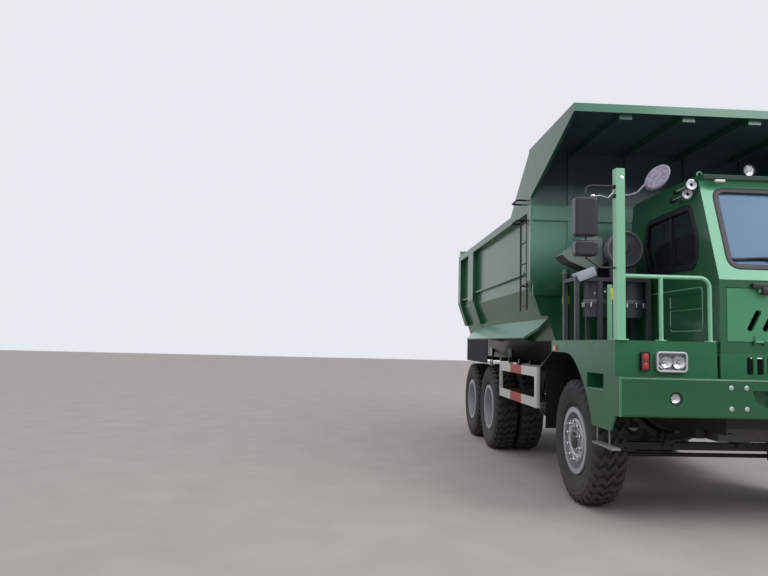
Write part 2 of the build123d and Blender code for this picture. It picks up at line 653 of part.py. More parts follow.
def cab_roof():
    """Roof over the walls, with a sun visor lip in front."""
    low = ROOF_HEIGHT - ROOF_SHEET
    line = [(CAB_REAR + 40, low), (VISOR_X, low), (VISOR_X, ROOF_HEIGHT - 20), (EAVES_X - 120, ROOF_HEIGHT),
            (CAB_REAR + 150, ROOF_HEIGHT), (CAB_REAR + SHOULDER_LEAN, ROOF_HEIGHT - 35)]
    return side_plate(line, CAB_RIGHT, CAB_LEFT)


HATCH_RIGHT = -465
HATCH_LEFT = CAB_LEFT - 130
HATCH_BOTTOM = 1813
HATCH_TOP = 2318
PANE_BOTTOM = 2530
PANE_TOP = 3340
PANE_SIDE = 90
SCREEN_CORNER = 110
HATCH_SHEET = 35
SLOT_TABLE = [-200, -50, 100, 250]  # middle of each slanted slot across the hatch
SLOT_WIDTH = 66
SLOT_LEAN = 52
SLOT_FOOT = 100
SLOT_HEAD = 300


def rake(z):
    """Forward place of the windscreen's plane at a height above the belt."""
    return CAB_FRONT + (EAVES_X - CAB_FRONT) * (z - BELT_HEIGHT) / (EAVES_HEIGHT - BELT_HEIGHT)


def cab_front():
    """Front wall: upright lower panel with the hatch opening, raked frame round the windscreen."""
    y0, y1 = CAB_RIGHT + CAB_WALL, CAB_LEFT - CAB_WALL
    line = [(CAB_FRONT - CAB_WALL, CAB_FLOOR), (CAB_FRONT, CAB_FLOOR), (CAB_FRONT, BELT_HEIGHT),
            (EAVES_X, EAVES_HEIGHT), (EAVES_X, ROOF_HEIGHT - ROOF_SHEET),
            (EAVES_X - CAB_WALL, ROOF_HEIGHT - ROOF_SHEET),
            (EAVES_X - CAB_WALL, EAVES_HEIGHT - 10), (CAB_FRONT - CAB_WALL, BELT_HEIGHT - 10)]
    shape = side_plate(line, y0, y1)
    shape -= block(CAB_FRONT - 200, CAB_FRONT + 1, HATCH_RIGHT - DOOR_GAP, HATCH_LEFT + DOOR_GAP,
                   HATCH_BOTTOM - DOOR_GAP, HATCH_TOP + DOOR_GAP)
    opening = block(EAVES_X - 200, CAB_FRONT + 1, y0 + PANE_SIDE, y1 - PANE_SIDE, PANE_BOTTOM, PANE_TOP)
    shape -= fillet(opening.edges().filter_by(Axis.X), SCREEN_CORNER)
    return shape + hatch_pins()


HINGE_PIN = 7
HINGE_BARREL = 12
HINGE_LENGTH = 80
HINGE_OUT = 13
HINGE_EAR = 14
HINGE_ROOM = 19
HATCH_AXIS = (CAB_FRONT + HINGE_OUT, HATCH_BOTTOM - 3)
HATCH_HINGES = (HATCH_RIGHT + 300, HATCH_LEFT - 300)
DOOR_AXIS = (DOOR_FRONT + 3, CAB_LEFT + HINGE_OUT)
DOOR_HINGES = (2050, 3050)


def hatch_barrels():
    """Hinge leaf and barrel at each hinge of the front hatch."""
    shape = None
    x, z = HATCH_AXIS
    for y in HATCH_HINGES:
        half = HINGE_LENGTH / 2
        leaf = block(CAB_FRONT, x, y - half, y + half, z, HATCH_BOTTOM + 55)
        leaf += bar((x, y - half, z), (x, y + half, z), HINGE_BARREL)
        leaf -= bar((x, y - half - 1, z), (x, y + half + 1, z), HINGE_PIN + PIN_GAP)
        shape = leaf if shape is None else shape + leaf
    return shape


def hatch_pins():
    """Pin of each hatch hinge between two ears on the front wall."""
    shape = None
    x, z = HATCH_AXIS
    for y in HATCH_HINGES:
        reach = HINGE_LENGTH / 2 + HINGE_EAR
        piece = bar((x, y - reach, z), (x, y + reach, z), HINGE_PIN)
        for edge in (-reach, reach - 12):
            piece += block(CAB_FRONT, x + 10, y + edge, y + edge + 12, z - 30, z + 10)
        shape = piece if shape is None else shape + piece
    return shape


def door_barrels():
    """Hinge leaf and barrel at each hinge of the door."""
    shape = None
    x, y = DOOR_AXIS
    for z in DOOR_HINGES:
        half = HINGE_LENGTH / 2
        leaf = block(DOOR_FRONT - 70, x, CAB_LEFT, y, z - half, z + half)
        leaf += bar((x, y, z - half), (x, y, z + half), HINGE_BARREL)
        leaf -= bar((x, y, z - half - 1), (x, y, z + half + 1), HINGE_PIN + PIN_GAP)
        shape = leaf if shape is None else shape + leaf
    return shape


def door_pins():
    """Pin of each door hinge between two ears on the left wall."""
    shape = None
    x, y = DOOR_AXIS
    for z in DOOR_HINGES:
        reach = HINGE_LENGTH / 2 + HINGE_EAR
        piece = bar((x, y, z - reach), (x, y, z + reach), HINGE_PIN)
        for edge in (-reach, reach - 12):
            piece += block(x - 10, x + 60, CAB_LEFT, y + 10, z + edge, z + edge + 12)
        shape = piece if shape is None else shape + piece
    return shape


def front_hatch():
    """Lid in the front wall over the radiator, hinged at its lower edge."""
    shape = block(CAB_FRONT - HATCH_SHEET, CAB_FRONT, HATCH_RIGHT, HATCH_LEFT, HATCH_BOTTOM, HATCH_TOP)
    for y in SLOT_TABLE:
        low, high = (y - SLOT_LEAN, HATCH_BOTTOM + SLOT_FOOT), (y + SLOT_LEAN, HATCH_BOTTOM + SLOT_HEAD)
        slot = cross_plate([(low[0] - SLOT_WIDTH / 2, low[1]), (low[0] + SLOT_WIDTH / 2, low[1]),
                            (high[0] + SLOT_WIDTH / 2, high[1]), (high[0] - SLOT_WIDTH / 2, high[1])],
                           CAB_FRONT - HATCH_SHEET - 1, CAB_FRONT + 1)
        shape -= fillet(slot.edges().filter_by(Axis.X), SLOT_WIDTH / 2 - 8)
    x, z = HATCH_AXIS
    for y in HATCH_HINGES:
        reach = HINGE_LENGTH / 2 + HINGE_EAR + 3
        shape -= bar((x, y - reach, z), (x, y + reach, z), HINGE_ROOM)
    latch = block(CAB_FRONT, CAB_FRONT + 30, -170, 20, HATCH_TOP - 40, HATCH_TOP - 2)
    return shape + latch + hatch_barrels()


def windscreen():
    """Raked front pane in the middle of the wall's thickness."""
    y0, y1 = CAB_RIGHT + CAB_WALL + PANE_SIDE, CAB_LEFT - CAB_WALL - PANE_SIDE
    line = [(rake(PANE_BOTTOM) - 32, PANE_BOTTOM), (rake(PANE_BOTTOM) - 24, PANE_BOTTOM),
            (rake(PANE_TOP) - 24, PANE_TOP), (rake(PANE_TOP) - 32, PANE_TOP)]
    opening = block(EAVES_X - 200, CAB_FRONT + 1, y0, y1, PANE_BOTTOM, PANE_TOP)
    return side_plate(line, y0, y1) & fillet(opening.edges().filter_by(Axis.X), SCREEN_CORNER)


PANE_HALF = 4


def side_glass():
    """Panes of the right window and of the rear wall."""
    mid = CAB_RIGHT + CAB_WALL / 2
    pane = side_plate(WINDOW_RIGHT, mid - PANE_HALF, mid + PANE_HALF, WINDOW_CORNER)
    mid = CAB_REAR + CAB_WALL / 2
    return pane + rear_pane(mid - PANE_HALF, mid + PANE_HALF)


def door_glass():
    """Pane of the driver's door."""
    mid = CAB_LEFT - CAB_WALL / 2
    return side_plate(DOOR_WINDOW, mid - PANE_HALF, mid + PANE_HALF, PANE_CORNER)


SEAT_Y = CAB_LEFT - 530
SEAT_X = X_FRONT - 1375


def driver_seat():
    """Seat on its pedestal, behind the wheel."""
    floor = CAB_FLOOR + CAB_WALL
    shape = block(SEAT_X - 200, SEAT_X + 200, SEAT_Y - 180, SEAT_Y + 180, floor, floor + 300)
    shape += block(SEAT_X - 260, SEAT_X + 260, SEAT_Y - 260, SEAT_Y + 260, floor + 300, floor + 440)
    back = side_plate([(SEAT_X - 260, floor + 440), (SEAT_X - 140, floor + 440), (SEAT_X - 230, floor + 1080),
                       (SEAT_X - 330, floor + 1080)], SEAT_Y - 240, SEAT_Y + 240)
    return shape + back


def dashboard():
    """Dashboard across the cab with the steering column and wheel."""
    floor = CAB_FLOOR + CAB_WALL
    front = CAB_FRONT - CAB_WALL
    shape = block(front - 380, front, CAB_RIGHT + CAB_WALL, CAB_LEFT - CAB_WALL, floor + 560, floor + 640)
    column = bar((front - 330, SEAT_Y, floor + 560), (front - 560, SEAT_Y, floor + 880), 30)
    tilt = Plane(origin=(front - 560, SEAT_Y, floor + 880), z_dir=(-230, 0, 320))
    wheel = tilt * Torus(225, 16)
    wheel += tilt * Box(450, 40, 14)
    wheel += tilt * Box(40, 450, 14)
    return shape + column + wheel


# Lamps, mirrors, railing and what stands on the deck

LAMP_BOX = (DECK_HALF_WIDTH - 680, DECK_HALF_WIDTH - 380, 1509, 1703)  # inner, outer, bottom, top
LAMP_DEPTH = 40
SIGNAL_BOX = (DECK_HALF_WIDTH - 315, DECK_HALF_WIDTH - 240, 1524, 1689)  # inner, outer, bottom, top
SIGNAL_DEPTH = 30


def headlamps():
    """Oblong headlamp on each side of the front."""
    lamp = block(PANEL_X, PANEL_X + LAMP_DEPTH, *LAMP_BOX)
    return both_sides(fillet(lamp.edges().filter_by(Axis.X), 25))


def signal_lamps():
    """Upright signal lamp outboard of each headlamp, and a marker on each side skin."""
    shape = both_sides(block(PANEL_X, PANEL_X + SIGNAL_DEPTH, *SIGNAL_BOX))
    for side in (1, -1):
        y = side * DECK_HALF_WIDTH
        z = 1708 if side < 0 else 1600
        x = X_AXLE_1 - 430 if side < 0 else X_AXLE_1 + 825
        shape += block(x - 45, x + 45, y, y + side * 20, z - 25, z + 25)
    return shape


def fog_lamps():
    """Round lamp in each end of the bumper."""
    shape = bar((X_FRONT - FOG_DEPTH, FOG_Y, FOG_Z), (BUMPER_FACE - 2, FOG_Y, FOG_Z), FOG_RADIUS)
    return both_sides(shape)


def roof_lamp():
    """Round work lamp on a stalk above the visor."""
    x, y, z = X_FRONT - 590, 60, ROOF_HEIGHT + 88
    shape = bar((x - 45, y, z), (x + 30, y, z), 65)
    return shape + bar((x, y, ROOF_HEIGHT), (x, y, z), 12)


def horns():
    """Two trumpet horns on the right wall below the eaves."""
    shape = None
    for x, z in ((X_FRONT - 470, EAVES_HEIGHT - 7), (X_FRONT - 548, EAVES_HEIGHT - 86)):
        y = CAB_RIGHT - 75
        horn = bar((x - 330, y, z), (x - 60, y, z), 18)
        bell = Cone(18, 52, 90, align=(Align.CENTER, Align.CENTER, Align.MIN))
        horn += Plane(origin=(x - 90, y, z), z_dir=(1, 0, 0)) * bell
        horn += block(x - 300, x - 240, y, CAB_RIGHT, z - 12, z + 12)
        shape = horn if shape is None else shape + horn
    return shape


POST_X = PANEL_X - 45
POST_Y = -DECK_HALF_WIDTH + 63
POST_TOP = 3440
POST_SIDE = 85
RAIL_TUBE = 20
RAIL_BEND = 95


def deck_railing():
    """Square mirror post at the deck's outer corner and the tube railing along its front."""
    half = POST_SIDE / 2
    shape = block(POST_X - half, POST_X + half, POST_Y - half, POST_Y + half, DECK_TOP, POST_TOP)
    x, top = PANEL_X - 40, 2410
    inner = CAB_RIGHT - 75
    shape += tube([(x, POST_Y + half, top), (x, inner, top), (x, inner, DECK_TOP)], RAIL_TUBE, RAIL_BEND)
    shape += bar((x, POST_Y + 400, DECK_TOP), (x, POST_Y + 400, top), RAIL_TUBE)
    x, y = X_FRONT - 975, POST_Y + 232
    return shape + block(x - 20, x + 20, y - 20, y + 20, DECK_TOP, top - 10)


MIRROR_TABLE = [  # (bottom, top) of the main mirror and of the wide one below it
    (2777, 3155), (2588, 2735)]


OVAL_LONG = 152
OVAL_SHORT = 90
OVAL_DEEP = 44


def mirror_heads(x, y):
    """Main and wide mirror housings on one upright tube."""
    shape = bar((x, y, 2560), (x, y, 3190), 11)
    for z0, z1 in MIRROR_TABLE:
        head = block(x - 60, x + 40, y - MIRROR_HALF, y + MIRROR_HALF, z0, z1)
        head = fillet(head.edges().filter_by(Axis.X), 35)
        shape += fillet(head.faces().sort_by(Axis.X)[-1].edges(), 22)
    return shape


def mirror_right():
    """Mirrors outside the post on two bent arms, and the look-down mirror on its own arm."""
    x, y = POST_X, -MIRROR_LINE_Y
    shape = mirror_heads(x, y)
    near = POST_Y - POST_SIDE / 2
    shape += tube([(x, near, 3271), (x, y, 3271), (x, y, 3185)], 9, 60)
    shape += tube([(x, near, 2483), (x, (near + y) / 2, 2483), (x, y, 2575)], 10, 50)
    inner = POST_Y + POST_SIDE / 2
    shape += tube([(x, inner, 3190), (x, inner + 60, 3190), (x, inner + 140, 3220), (x, inner + 245, 3335)], 9, 50)
    face = Plane(origin=(x, inner + 340, 3375), x_dir=(0, 0.66, 0.75), z_dir=(1, -0.3, 0.264))
    head = extrude(face * Ellipse(OVAL_LONG, OVAL_SHORT), amount=OVAL_DEEP / 2, both=True)
    return shape + fillet(head.edges().sort_by(Axis.X)[-1], OVAL_DEEP / 3)


def mirror_left():
    """Main mirror and wide mirror on tube arms from the left pillar."""
    x, y = X_FRONT - 535, MIRROR_LINE_Y
    shape = mirror_heads(x, y)
    for z, end in ((3250, 3180), (2490, 2575)):
        shape += tube([(x, CAB_LEFT, z), (x, y, z), (x, y, end)], 9, 50)
    return shape


STAND_TUBE = 46
STAND_OUTER_Y = -DECK_HALF_WIDTH + 75
STAND_INNER_Y = CAB_RIGHT - 60
CLEANER_X = X_FRONT - 1350
CLEANER_Y = (STAND_OUTER_Y + STAND_INNER_Y) / 2 + 120
CLEANER_Z = 2856
CLEANER_RADIUS = 205
CLEANER_LENGTH = 560
HOOD_LINE = [  # (y, z) of the intake hood's side, from its root in the cleaner to its mouth
    (CLEANER_Y - 120, 2985), (CLEANER_Y - 355, 3034), (CLEANER_Y - 675, 2790), (CLEANER_Y - 585, 2715),
    (CLEANER_Y - 310, 2610), (CLEANER_Y - 120, 2740)]
STAND_LOW = CLEANER_Z - CLEANER_RADIUS - 168


def air_cleaner():
    """Round air cleaner lying above the deck, with its rimmed cap and its slanted intake hood."""
    x, y, z, r = CLEANER_X, CLEANER_Y, CLEANER_Z, CLEANER_RADIUS
    profile = [(0, -CLEANER_LENGTH), (r - 12, -CLEANER_LENGTH), (r - 12, -60), (r, -60), (r, -12), (r - 8, 0),
               (r - 30, 0), (r - 38, -14), (60, -14), (40, -4), (0, -4)]
    face = make_face(Polyline(*[(0, a, 0) if q == 0 else (q, a, 0) for q, a in profile], close=True))
    drum = Pos(x, y, z) * Rot(0, 0, -90) * revolve(face, axis=Axis.Y, revolution_arc=360)
    return drum + cross_plate(HOOD_LINE, x - 470, x - 180)


def filter_stand():
    """Square-tube stand on the deck that carries the air cleaner, with a switch box on its outer corner."""
    x0, x1 = CLEANER_X - 500, CLEANER_X - 60
    y0, y1 = STAND_OUTER_Y, STAND_INNER_Y
    top = CLEANER_Z - CLEANER_RADIUS + 12
    low = STAND_LOW
    shape = block(x0, x1, y0, y1, low, low + 42)
    shape -= block(x0 + STAND_TUBE, x1 - STAND_TUBE, y0 + STAND_TUBE, y1 - STAND_TUBE, low - 1, low + 43)
    for y in CAN_PLACES:
        shape += block(x0, x1, y - STAND_TUBE / 2, y + STAND_TUBE / 2, low, low + 42)
    for x in (x0, x1 - STAND_TUBE):
        for y in (y0, y0 + 270, y1 - STAND_TUBE):
            shape += block(x, x + STAND_TUBE, y, y + STAND_TUBE, DECK_TOP, low)
        saddle = block(x, x + STAND_TUBE, CLEANER_Y - 150, CLEANER_Y + 150, low, top + 60)
        axis_line = ((x - 1, CLEANER_Y, CLEANER_Z), (x + STAND_TUBE + 1, CLEANER_Y, CLEANER_Z))
        shape += saddle - bar(*axis_line, CLEANER_RADIUS - 12)
        shape += block(x, x + STAND_TUBE, y0 + 270, y0 + 270 + STAND_TUBE, low, low + 42)
    lid = Plane(origin=(x1 - 60, y0 + 125, low + 80), x_dir=(1, 0, 0), z_dir=(0, -0.25, 1))
    return shape + lid * Box(150, 210, 76)


CAN_RADIUS = 138
CAN_PLACES = (STAND_OUTER_Y + 310, STAND_INNER_Y - 145)
CAN_BOTTOM = 2075


def canisters():
    """Two oil-bath canisters hung below the stand's frame, and an upright pipe behind them."""
    x, y = CLEANER_X - 560, STAND_OUTER_Y + 60
    shape = bar((x, y, DECK_TOP), (x, y, 2660), 42)
    x = CLEANER_X - 260
    for y in CAN_PLACES:
        shape += bar((x, y, CAN_BOTTOM), (x, y, STAND_LOW + 5), CAN_RADIUS)
        shape += bar((x, y, CAN_BOTTOM + 160), (x, y, CAN_BOTTOM + 195), CAN_RADIUS + 7)
    return shape


STEP_HEIGHT = 790


def hung_steps():
    """Tread bar hung on two rods below the skirt on each side."""
    y = -DECK_HALF_WIDTH + SKIN / 2
    rear = X_AXLE_1 + 815
    shape = block(rear, rear + 500, y - 40, y + 40, STEP_HEIGHT - 10, STEP_HEIGHT + 10)
    for x in (rear + 40, rear + 340):
        shape += bar((x, y, STEP_HEIGHT + 10), (x, y, SKIRT_BOTTOM), 8)
    return both_sides(shape)


# Side guards, tanks and flaps

SLOPE_LINE = [(GUARD_FRONT - 60, GUARD_TOP - 10), (DECK_REAR, ARCH[0][1] - 3)]
SLOPE_SHEET = 8
FLAP_X = X_AXLE_1 - 900


def slope_plate():
    """Tread plate on the left that slopes from the deck's rear edge to the guard's front corner."""
    return side_plate(band(SLOPE_LINE, -SLOPE_SHEET), KINGPIN_Y + 180, DECK_HALF_WIDTH)


def side_guards():
    """Open rectangular guard on each side between the front and the rear wheels."""
    frames = guard(1, GUARD_FRONT, GUARD_REAR) + guard(-1, GUARD_FRONT, GUARD_REAR)
    return frames + both_sides(slope_plate() + guard_stay())


def guard_stay():
    """Bar from the left slope plate to the guard's front upright."""
    x = GUARD_FRONT - 60
    return block(x, x + 40, KINGPIN_Y + 180, GUARD_Y - 20, GUARD_TOP - 60, GUARD_TOP - 12)


GUARD_DEPTH = 40
GUARD_RAIL = 120
GROOVE = 16
GUARD_GROOVES = (34, 78)  # middle of each lengthwise groove above a rail's lower edge


def guard(side, front, rear):
    """Open frame of grooved rails between a wide and a thin upright, with brackets to the frame rail."""
    y0, y1 = side * GUARD_Y, side * (GUARD_Y - GUARD_DEPTH)
    shape = block(rear, front, y0, y1, GUARD_BOTTOM, GUARD_TOP)
    low, high = GUARD_BOTTOM + GUARD_RAIL, GUARD_TOP - GUARD_RAIL
    shape -= block(rear + 50, front - 110, y0 + side, y1 - side, low, high)
    for low in (GUARD_BOTTOM, high):
        for lift in GUARD_GROOVES:
            z = low + lift
            shape -= block(rear + 30, front - 30, y0 + side, y0 - side * 8, z - GROOVE / 2, z + GROOVE / 2)
    for x in (rear + 140, front - 200):
        reach = side * (RAIL_Y + RAIL_WIDTH / 2)
        shape += block(x, x + 60, y1, reach, RAIL_BOTTOM + 60, RAIL_BOTTOM + 120)
    return shape


TANK_REAR = GUARD_FRONT - 1275
TANK_FRONT = GUARD_FRONT - 325
TANK_STRAPS = (TANK_REAR + 150, TANK_FRONT - 200)


def fuel_tank():
    """Large round-cornered tank on the left, behind the front wheel."""
    y0, y1 = RAIL_Y + RAIL_WIDTH / 2 + 60, GUARD_Y - 100
    tank = block(TANK_REAR, TANK_FRONT, y0, y1, 600, GUARD_BOTTOM + 50)
    tank = fillet(tank.edges().filter_by(Axis.X), 120)
    for x in TANK_STRAPS:
        tank += block(x, x + 60, y0 - 60, y0 + 30, 700, RAIL_BOTTOM + 40)
    return tank


def air_tanks():
    """Air reservoirs on the right, behind the front wheel."""
    y0 = -(RAIL_Y + RAIL_WIDTH / 2)
    shape = None
    for y in (-760, -1080):
        tank = bar((TANK_REAR + 50, y, 840), (TANK_FRONT, y, 840), 140)
        shape = tank if shape is None else shape + tank
    for x in TANK_STRAPS:
        shape += block(x, x + 50, -1200, y0, 935, 1005)
    return shape


def mud_flaps():
    """Rubber flap hung behind each front wheel below the slope plate."""
    slope = (SLOPE_LINE[1][1] - SLOPE_LINE[0][1]) / (SLOPE_LINE[1][0] - SLOPE_LINE[0][0])
    top = SLOPE_LINE[0][1] + (FLAP_X - SLOPE_LINE[0][0]) * slope
    flap = block(FLAP_X, FLAP_X + 12, KINGPIN_Y + 60, DECK_HALF_WIDTH - 20, 700, top + 5)
    return both_sides(flap - side_guards())


def tail_lamps():
    """Lamp boards at the rear ends of the frame rails."""
    outer = RAIL_Y + RAIL_WIDTH / 2
    x, end = RAIL_REAR, INNER_TYRE_Y - TYRE_WIDTH / 2 - 12
    board = block(x, x + 40, outer + EAR_THICK, end, 1000, 1120)
    for y in (outer + 180, outer + 310):
        board += block(x - 25, x, y - 50, y + 50, 1010, 1110)
    return both_sides(board)


def tow_hitch():
    """Rear tow jaw on the last crossmember with an upright pin hole."""
    x = RAIL_REAR
    half = RAIL_Y + RAIL_WIDTH / 2 - 12
    shape = block(x, x + 30, -half, half, RAIL_BOTTOM + 14, RAIL_TOP - 60)
    for z in (1020, 1110):
        shape += block(x - 130, x, -70, 70, z, z + 35)
    return shape - Pos(x - 80, 0, 1080) * Cylinder(TOW_PIN_RADIUS, 300)


# Load body

SIDE_LINE = [  # (y, z) of the side panel's outer face, from the floor up
    (1150, BODY_FLOOR), (1360, 1800), (1500, 2210), (PANEL_HALF_WIDTH, 2500), (PANEL_HALF_WIDTH, BODY_TOP)]
POST_LINE = [  # (y, z) of the posts' outer face, from the mudguard up
    (1460, 2120), (1545, 2120), (POST_HALF_WIDTH, 2580), (POST_HALF_WIDTH, BODY_TOP)]
POST_TABLE = [  # (rear x, front x) of each post
    (BODY_FRONT - 150, BODY_FRONT - 40), (X_REAR + 1220, X_REAR + 1720), (BODY_REAR, X_REAR + 330)]
SHELF_HEIGHT = 2710


def wall_sheet():
    """Left side panel from the floor to the rail."""
    return cross_plate(band(SIDE_LINE, BODY_WALL), BODY_REAR, BODY_FRONT - BODY_WALL)


def bed_wall():
    """Left side: panel, posts, shelf rib and top rail."""
    shape = wall_sheet()
    section = POST_LINE + [SIDE_LINE[4], SIDE_LINE[3]]
    for rear, front in POST_TABLE:
        shape += cross_plate(section, rear, front)
    front = BODY_FRONT - BODY_WALL
    shape += block(BODY_REAR, front, PANEL_HALF_WIDTH, POST_HALF_WIDTH, BODY_TOP - 110, BODY_TOP)
    for ahead, behind, height in ((0, 1, SHELF_HEIGHT), (1, 2, SHELF_HEIGHT - 60)):
        rear, front = POST_TABLE[behind][1], POST_TABLE[ahead][0]
        shape += block(rear, front, PANEL_HALF_WIDTH, PANEL_HALF_WIDTH + 55, height - 12, height + 12)
    shape += gate_ears()
    return shape


GATE_PIN_X = BODY_REAR + 60
GATE_PIN_Z = BODY_TOP + 70
GATE_PIN_RADIUS = 25
GATE_EYE = 58


def gate_ears():
    """Ear on the left top rail that carries the tailgate's pin."""
    line = [(GATE_PIN_X - 60, BODY_TOP), (GATE_PIN_X + 200, BODY_TOP), (GATE_PIN_X + 50, GATE_PIN_Z + 50),
            (GATE_PIN_X - 50, GATE_PIN_Z + 50)]
    ear = side_plate(line, POST_HALF_WIDTH - 60, POST_HALF_WIDTH - 20)
    inner, outer = PANEL_HALF_WIDTH - 40, POST_HALF_WIDTH - 20
    pin = bar((GATE_PIN_X, inner, GATE_PIN_Z), (GATE_PIN_X, outer, GATE_PIN_Z), GATE_PIN_RADIUS)
    return ear + pin


def tailgate():
    """Top-hung tailgate between the side walls, with ribs and two hanging arms."""
    front = BODY_REAR - CLEAR
    top = BODY_TOP - 60
    left = SIDE_LINE[:4] + [(PANEL_HALF_WIDTH, top)]
    right = [(-y, z) for y, z in left[::-1]]
    shape = cross_plate(left + right, X_REAR + 30, front)
    for z in (1700, 2300, 2900, 3460):
        shape += block(X_REAR, X_REAR + 30, -1300, 1300, z - 60, z + 60)
    y0, y1 = PANEL_HALF_WIDTH - 45, PANEL_HALF_WIDTH - 5
    arm = block(X_REAR + 30, front, y0, y1, top - 300, GATE_PIN_Z + GATE_EYE)
    arm += block(X_REAR + 30, GATE_PIN_X, y0, y1, GATE_PIN_Z - GATE_EYE, GATE_PIN_Z + GATE_EYE)
    arm += bar((GATE_PIN_X, y0, GATE_PIN_Z), (GATE_PIN_X, y1, GATE_PIN_Z), GATE_EYE)
    arm -= bar((GATE_PIN_X, y0 - 1, GATE_PIN_Z), (GATE_PIN_X, y1 + 1, GATE_PIN_Z), GATE_PIN_RADIUS + PIN_GAP)
    return shape + both_sides(arm)


RIB_PITCH = 620


def bed_floor():
    """Floor sheet between the side panels, with cross ribs outboard of the sills."""
    rear, front = BODY_REAR, BODY_FRONT - BODY_WALL
    low, high = SIDE_LINE[0], band(SIDE_LINE, BODY_WALL)[-1]
    lean = (SIDE_LINE[1][0] - SIDE_LINE[0][0]) / (SIDE_LINE[1][1] - SIDE_LINE[0][1])
    edge = [low, high, (high[0] + (BODY_FLOOR + BODY_WALL - high[1]) * lean, BODY_FLOOR + BODY_WALL)]
    shape = cross_plate(edge + [(-y, z) for y, z in edge[::-1]], rear, front)
    ribs = int((front - rear) // RIB_PITCH)
    for i in range(ribs + 1):
        x = rear + 60 + i * (front - rear - 120) / ribs
        shape += both_sides(block(x - 40, x + 40, RAIL_Y + 45, 1100, BODY_FLOOR - 80, BODY_FLOOR))
    return shape


def bed_sills():
    """Two long sills over the frame rails, the lugs on the tipping pin and the ears for the hoist rods."""
    front = BODY_FRONT - BODY_WALL
    sill = block(TIP_X + 120, front, RAIL_Y - 45, RAIL_Y + 45, RAIL_TOP + CLEAR, BODY_FLOOR)
    y = RAIL_Y - 45 - 70
    lug = side_plate([(TIP_X - 50, TIP_Z - 50), (TIP_X + 50, TIP_Z - 50), (TIP_X + 200, BODY_FLOOR),
                      (TIP_X - 120, BODY_FLOOR)], y - 25, y + 25)
    sill += lug - bar((TIP_X, y - 60, TIP_Z), (TIP_X, y + 60, TIP_Z), TIP_PIN_RADIUS + PIN_GAP)
    x, z = HOIST_EYE_X, HOIST_EYE_Z
    for edge in (-75, 75):
        y = HOIST_Y + edge
        sill += side_plate([(x - 50, z - 45), (x + 50, z - 45), (x + 110, BODY_FLOOR), (x - 110, BODY_FLOOR)],
                           y - 14, y + 14)
    return both_sides(sill)


def bed_front_wall():
    """Front wall of the load body up to the canopy, with its upright ribs and cross band."""
    full = SIDE_LINE[:3] + [(POST_HALF_WIDTH, 2580), (POST_HALF_WIDTH, HEIGHT - CANOPY_SHEET)]
    outline = full + [(-y, z) for y, z in full[::-1]]
    shape = cross_plate(outline, BODY_FRONT - BODY_WALL, BODY_FRONT)
    for z0, z1 in ((BODY_TOP - 230, BODY_TOP - 40), (2380, 2520)):
        shape += block(BODY_FRONT, BODY_FRONT + 40, -POST_HALF_WIDTH + 30, POST_HALF_WIDTH - 30, z0, z1)
    for y in (-1170, -400, 400, 1170):
        shape += block(BODY_FRONT, BODY_FRONT + 30, y - 40, y + 40, 1560, HEIGHT - CANOPY_SHEET)
    return shape


CANOPY_REAR = BODY_FRONT - 80
RIB_TABLE = [-1110, -410, 330, 1070]  # middle of each rib under the canopy


def bed_canopy():
    """Canopy over the cab: flat sheet, front lip, ribs below and a cheek plate on each side."""
    low, high = HEIGHT - CANOPY_SHEET, HEIGHT
    shape = block(CANOPY_REAR, CANOPY_FRONT, -POST_HALF_WIDTH, POST_HALF_WIDTH, low, high)
    shape += block(CANOPY_FRONT - 30, CANOPY_FRONT, -POST_HALF_WIDTH, POST_HALF_WIDTH, HEIGHT - 90, high)
    for y in RIB_TABLE:
        shape += block(BODY_FRONT, CANOPY_FRONT - 30, y - 40, y + 40, low - 50, low)
        shape += block(CANOPY_FRONT - 160, CANOPY_FRONT - 60, y - 70, y + 70, low - 100, low - 50)
    cheek = side_plate([(CANOPY_FRONT, low), (CANOPY_REAR, low), (BODY_FRONT - 740, BODY_TOP + 240),
                        (BODY_FRONT - 1050, BODY_TOP), (BODY_FRONT, BODY_TOP), (BODY_FRONT, BODY_TOP + 70),
                        (CANOPY_FRONT, HEIGHT - 90)],
                       POST_HALF_WIDTH - BODY_WALL, POST_HALF_WIDTH)
    shape += both_sides(cheek)
    return shape - bed_front_wall()


GUARD_LINE = [(1380, 2125), (POST_HALF_WIDTH - 18, 1820)]
GUARD_END = X_REAR + 1140
GUARD_CORNER = BODY_FRONT - 290
GUARD_SHEET = 25
SKIRT_FRONT = X_AXLE_2 + 75
ROD_Y = (INNER_TYRE_Y + OUTER_TYRE_Y) / 2
ROD_RADIUS = 11
ROD_FOOT = 1090


def ejector(x):
    """Pair of rods in a V between the left twin tyres, hung from the side panel, to push stones out."""
    lean = (SIDE_LINE[1][1] - SIDE_LINE[0][1]) / (SIDE_LINE[1][0] - SIDE_LINE[0][0])
    heights = [SIDE_LINE[0][1] + (y - SIDE_LINE[0][0]) * lean for y in (ROD_Y - 22, ROD_Y + 22)]
    low = SIDE_LINE[0][1] + 20
    line = [(ROD_Y - 22, low), (ROD_Y + 22, low), (ROD_Y + 22, heights[1]), (ROD_Y - 22, heights[0])]
    bracket = cross_plate(line, x - 130, x + 130)
    for top, foot in ((-90, -35), (90, 35)):
        bracket += bar((x + top, ROD_Y, low + 30), (x + foot, ROD_Y, ROD_FOOT), ROD_RADIUS)
    return bracket + bar((x - 48, ROD_Y, ROD_FOOT), (x + 48, ROD_Y, ROD_FOOT), ROD_RADIUS + 3)


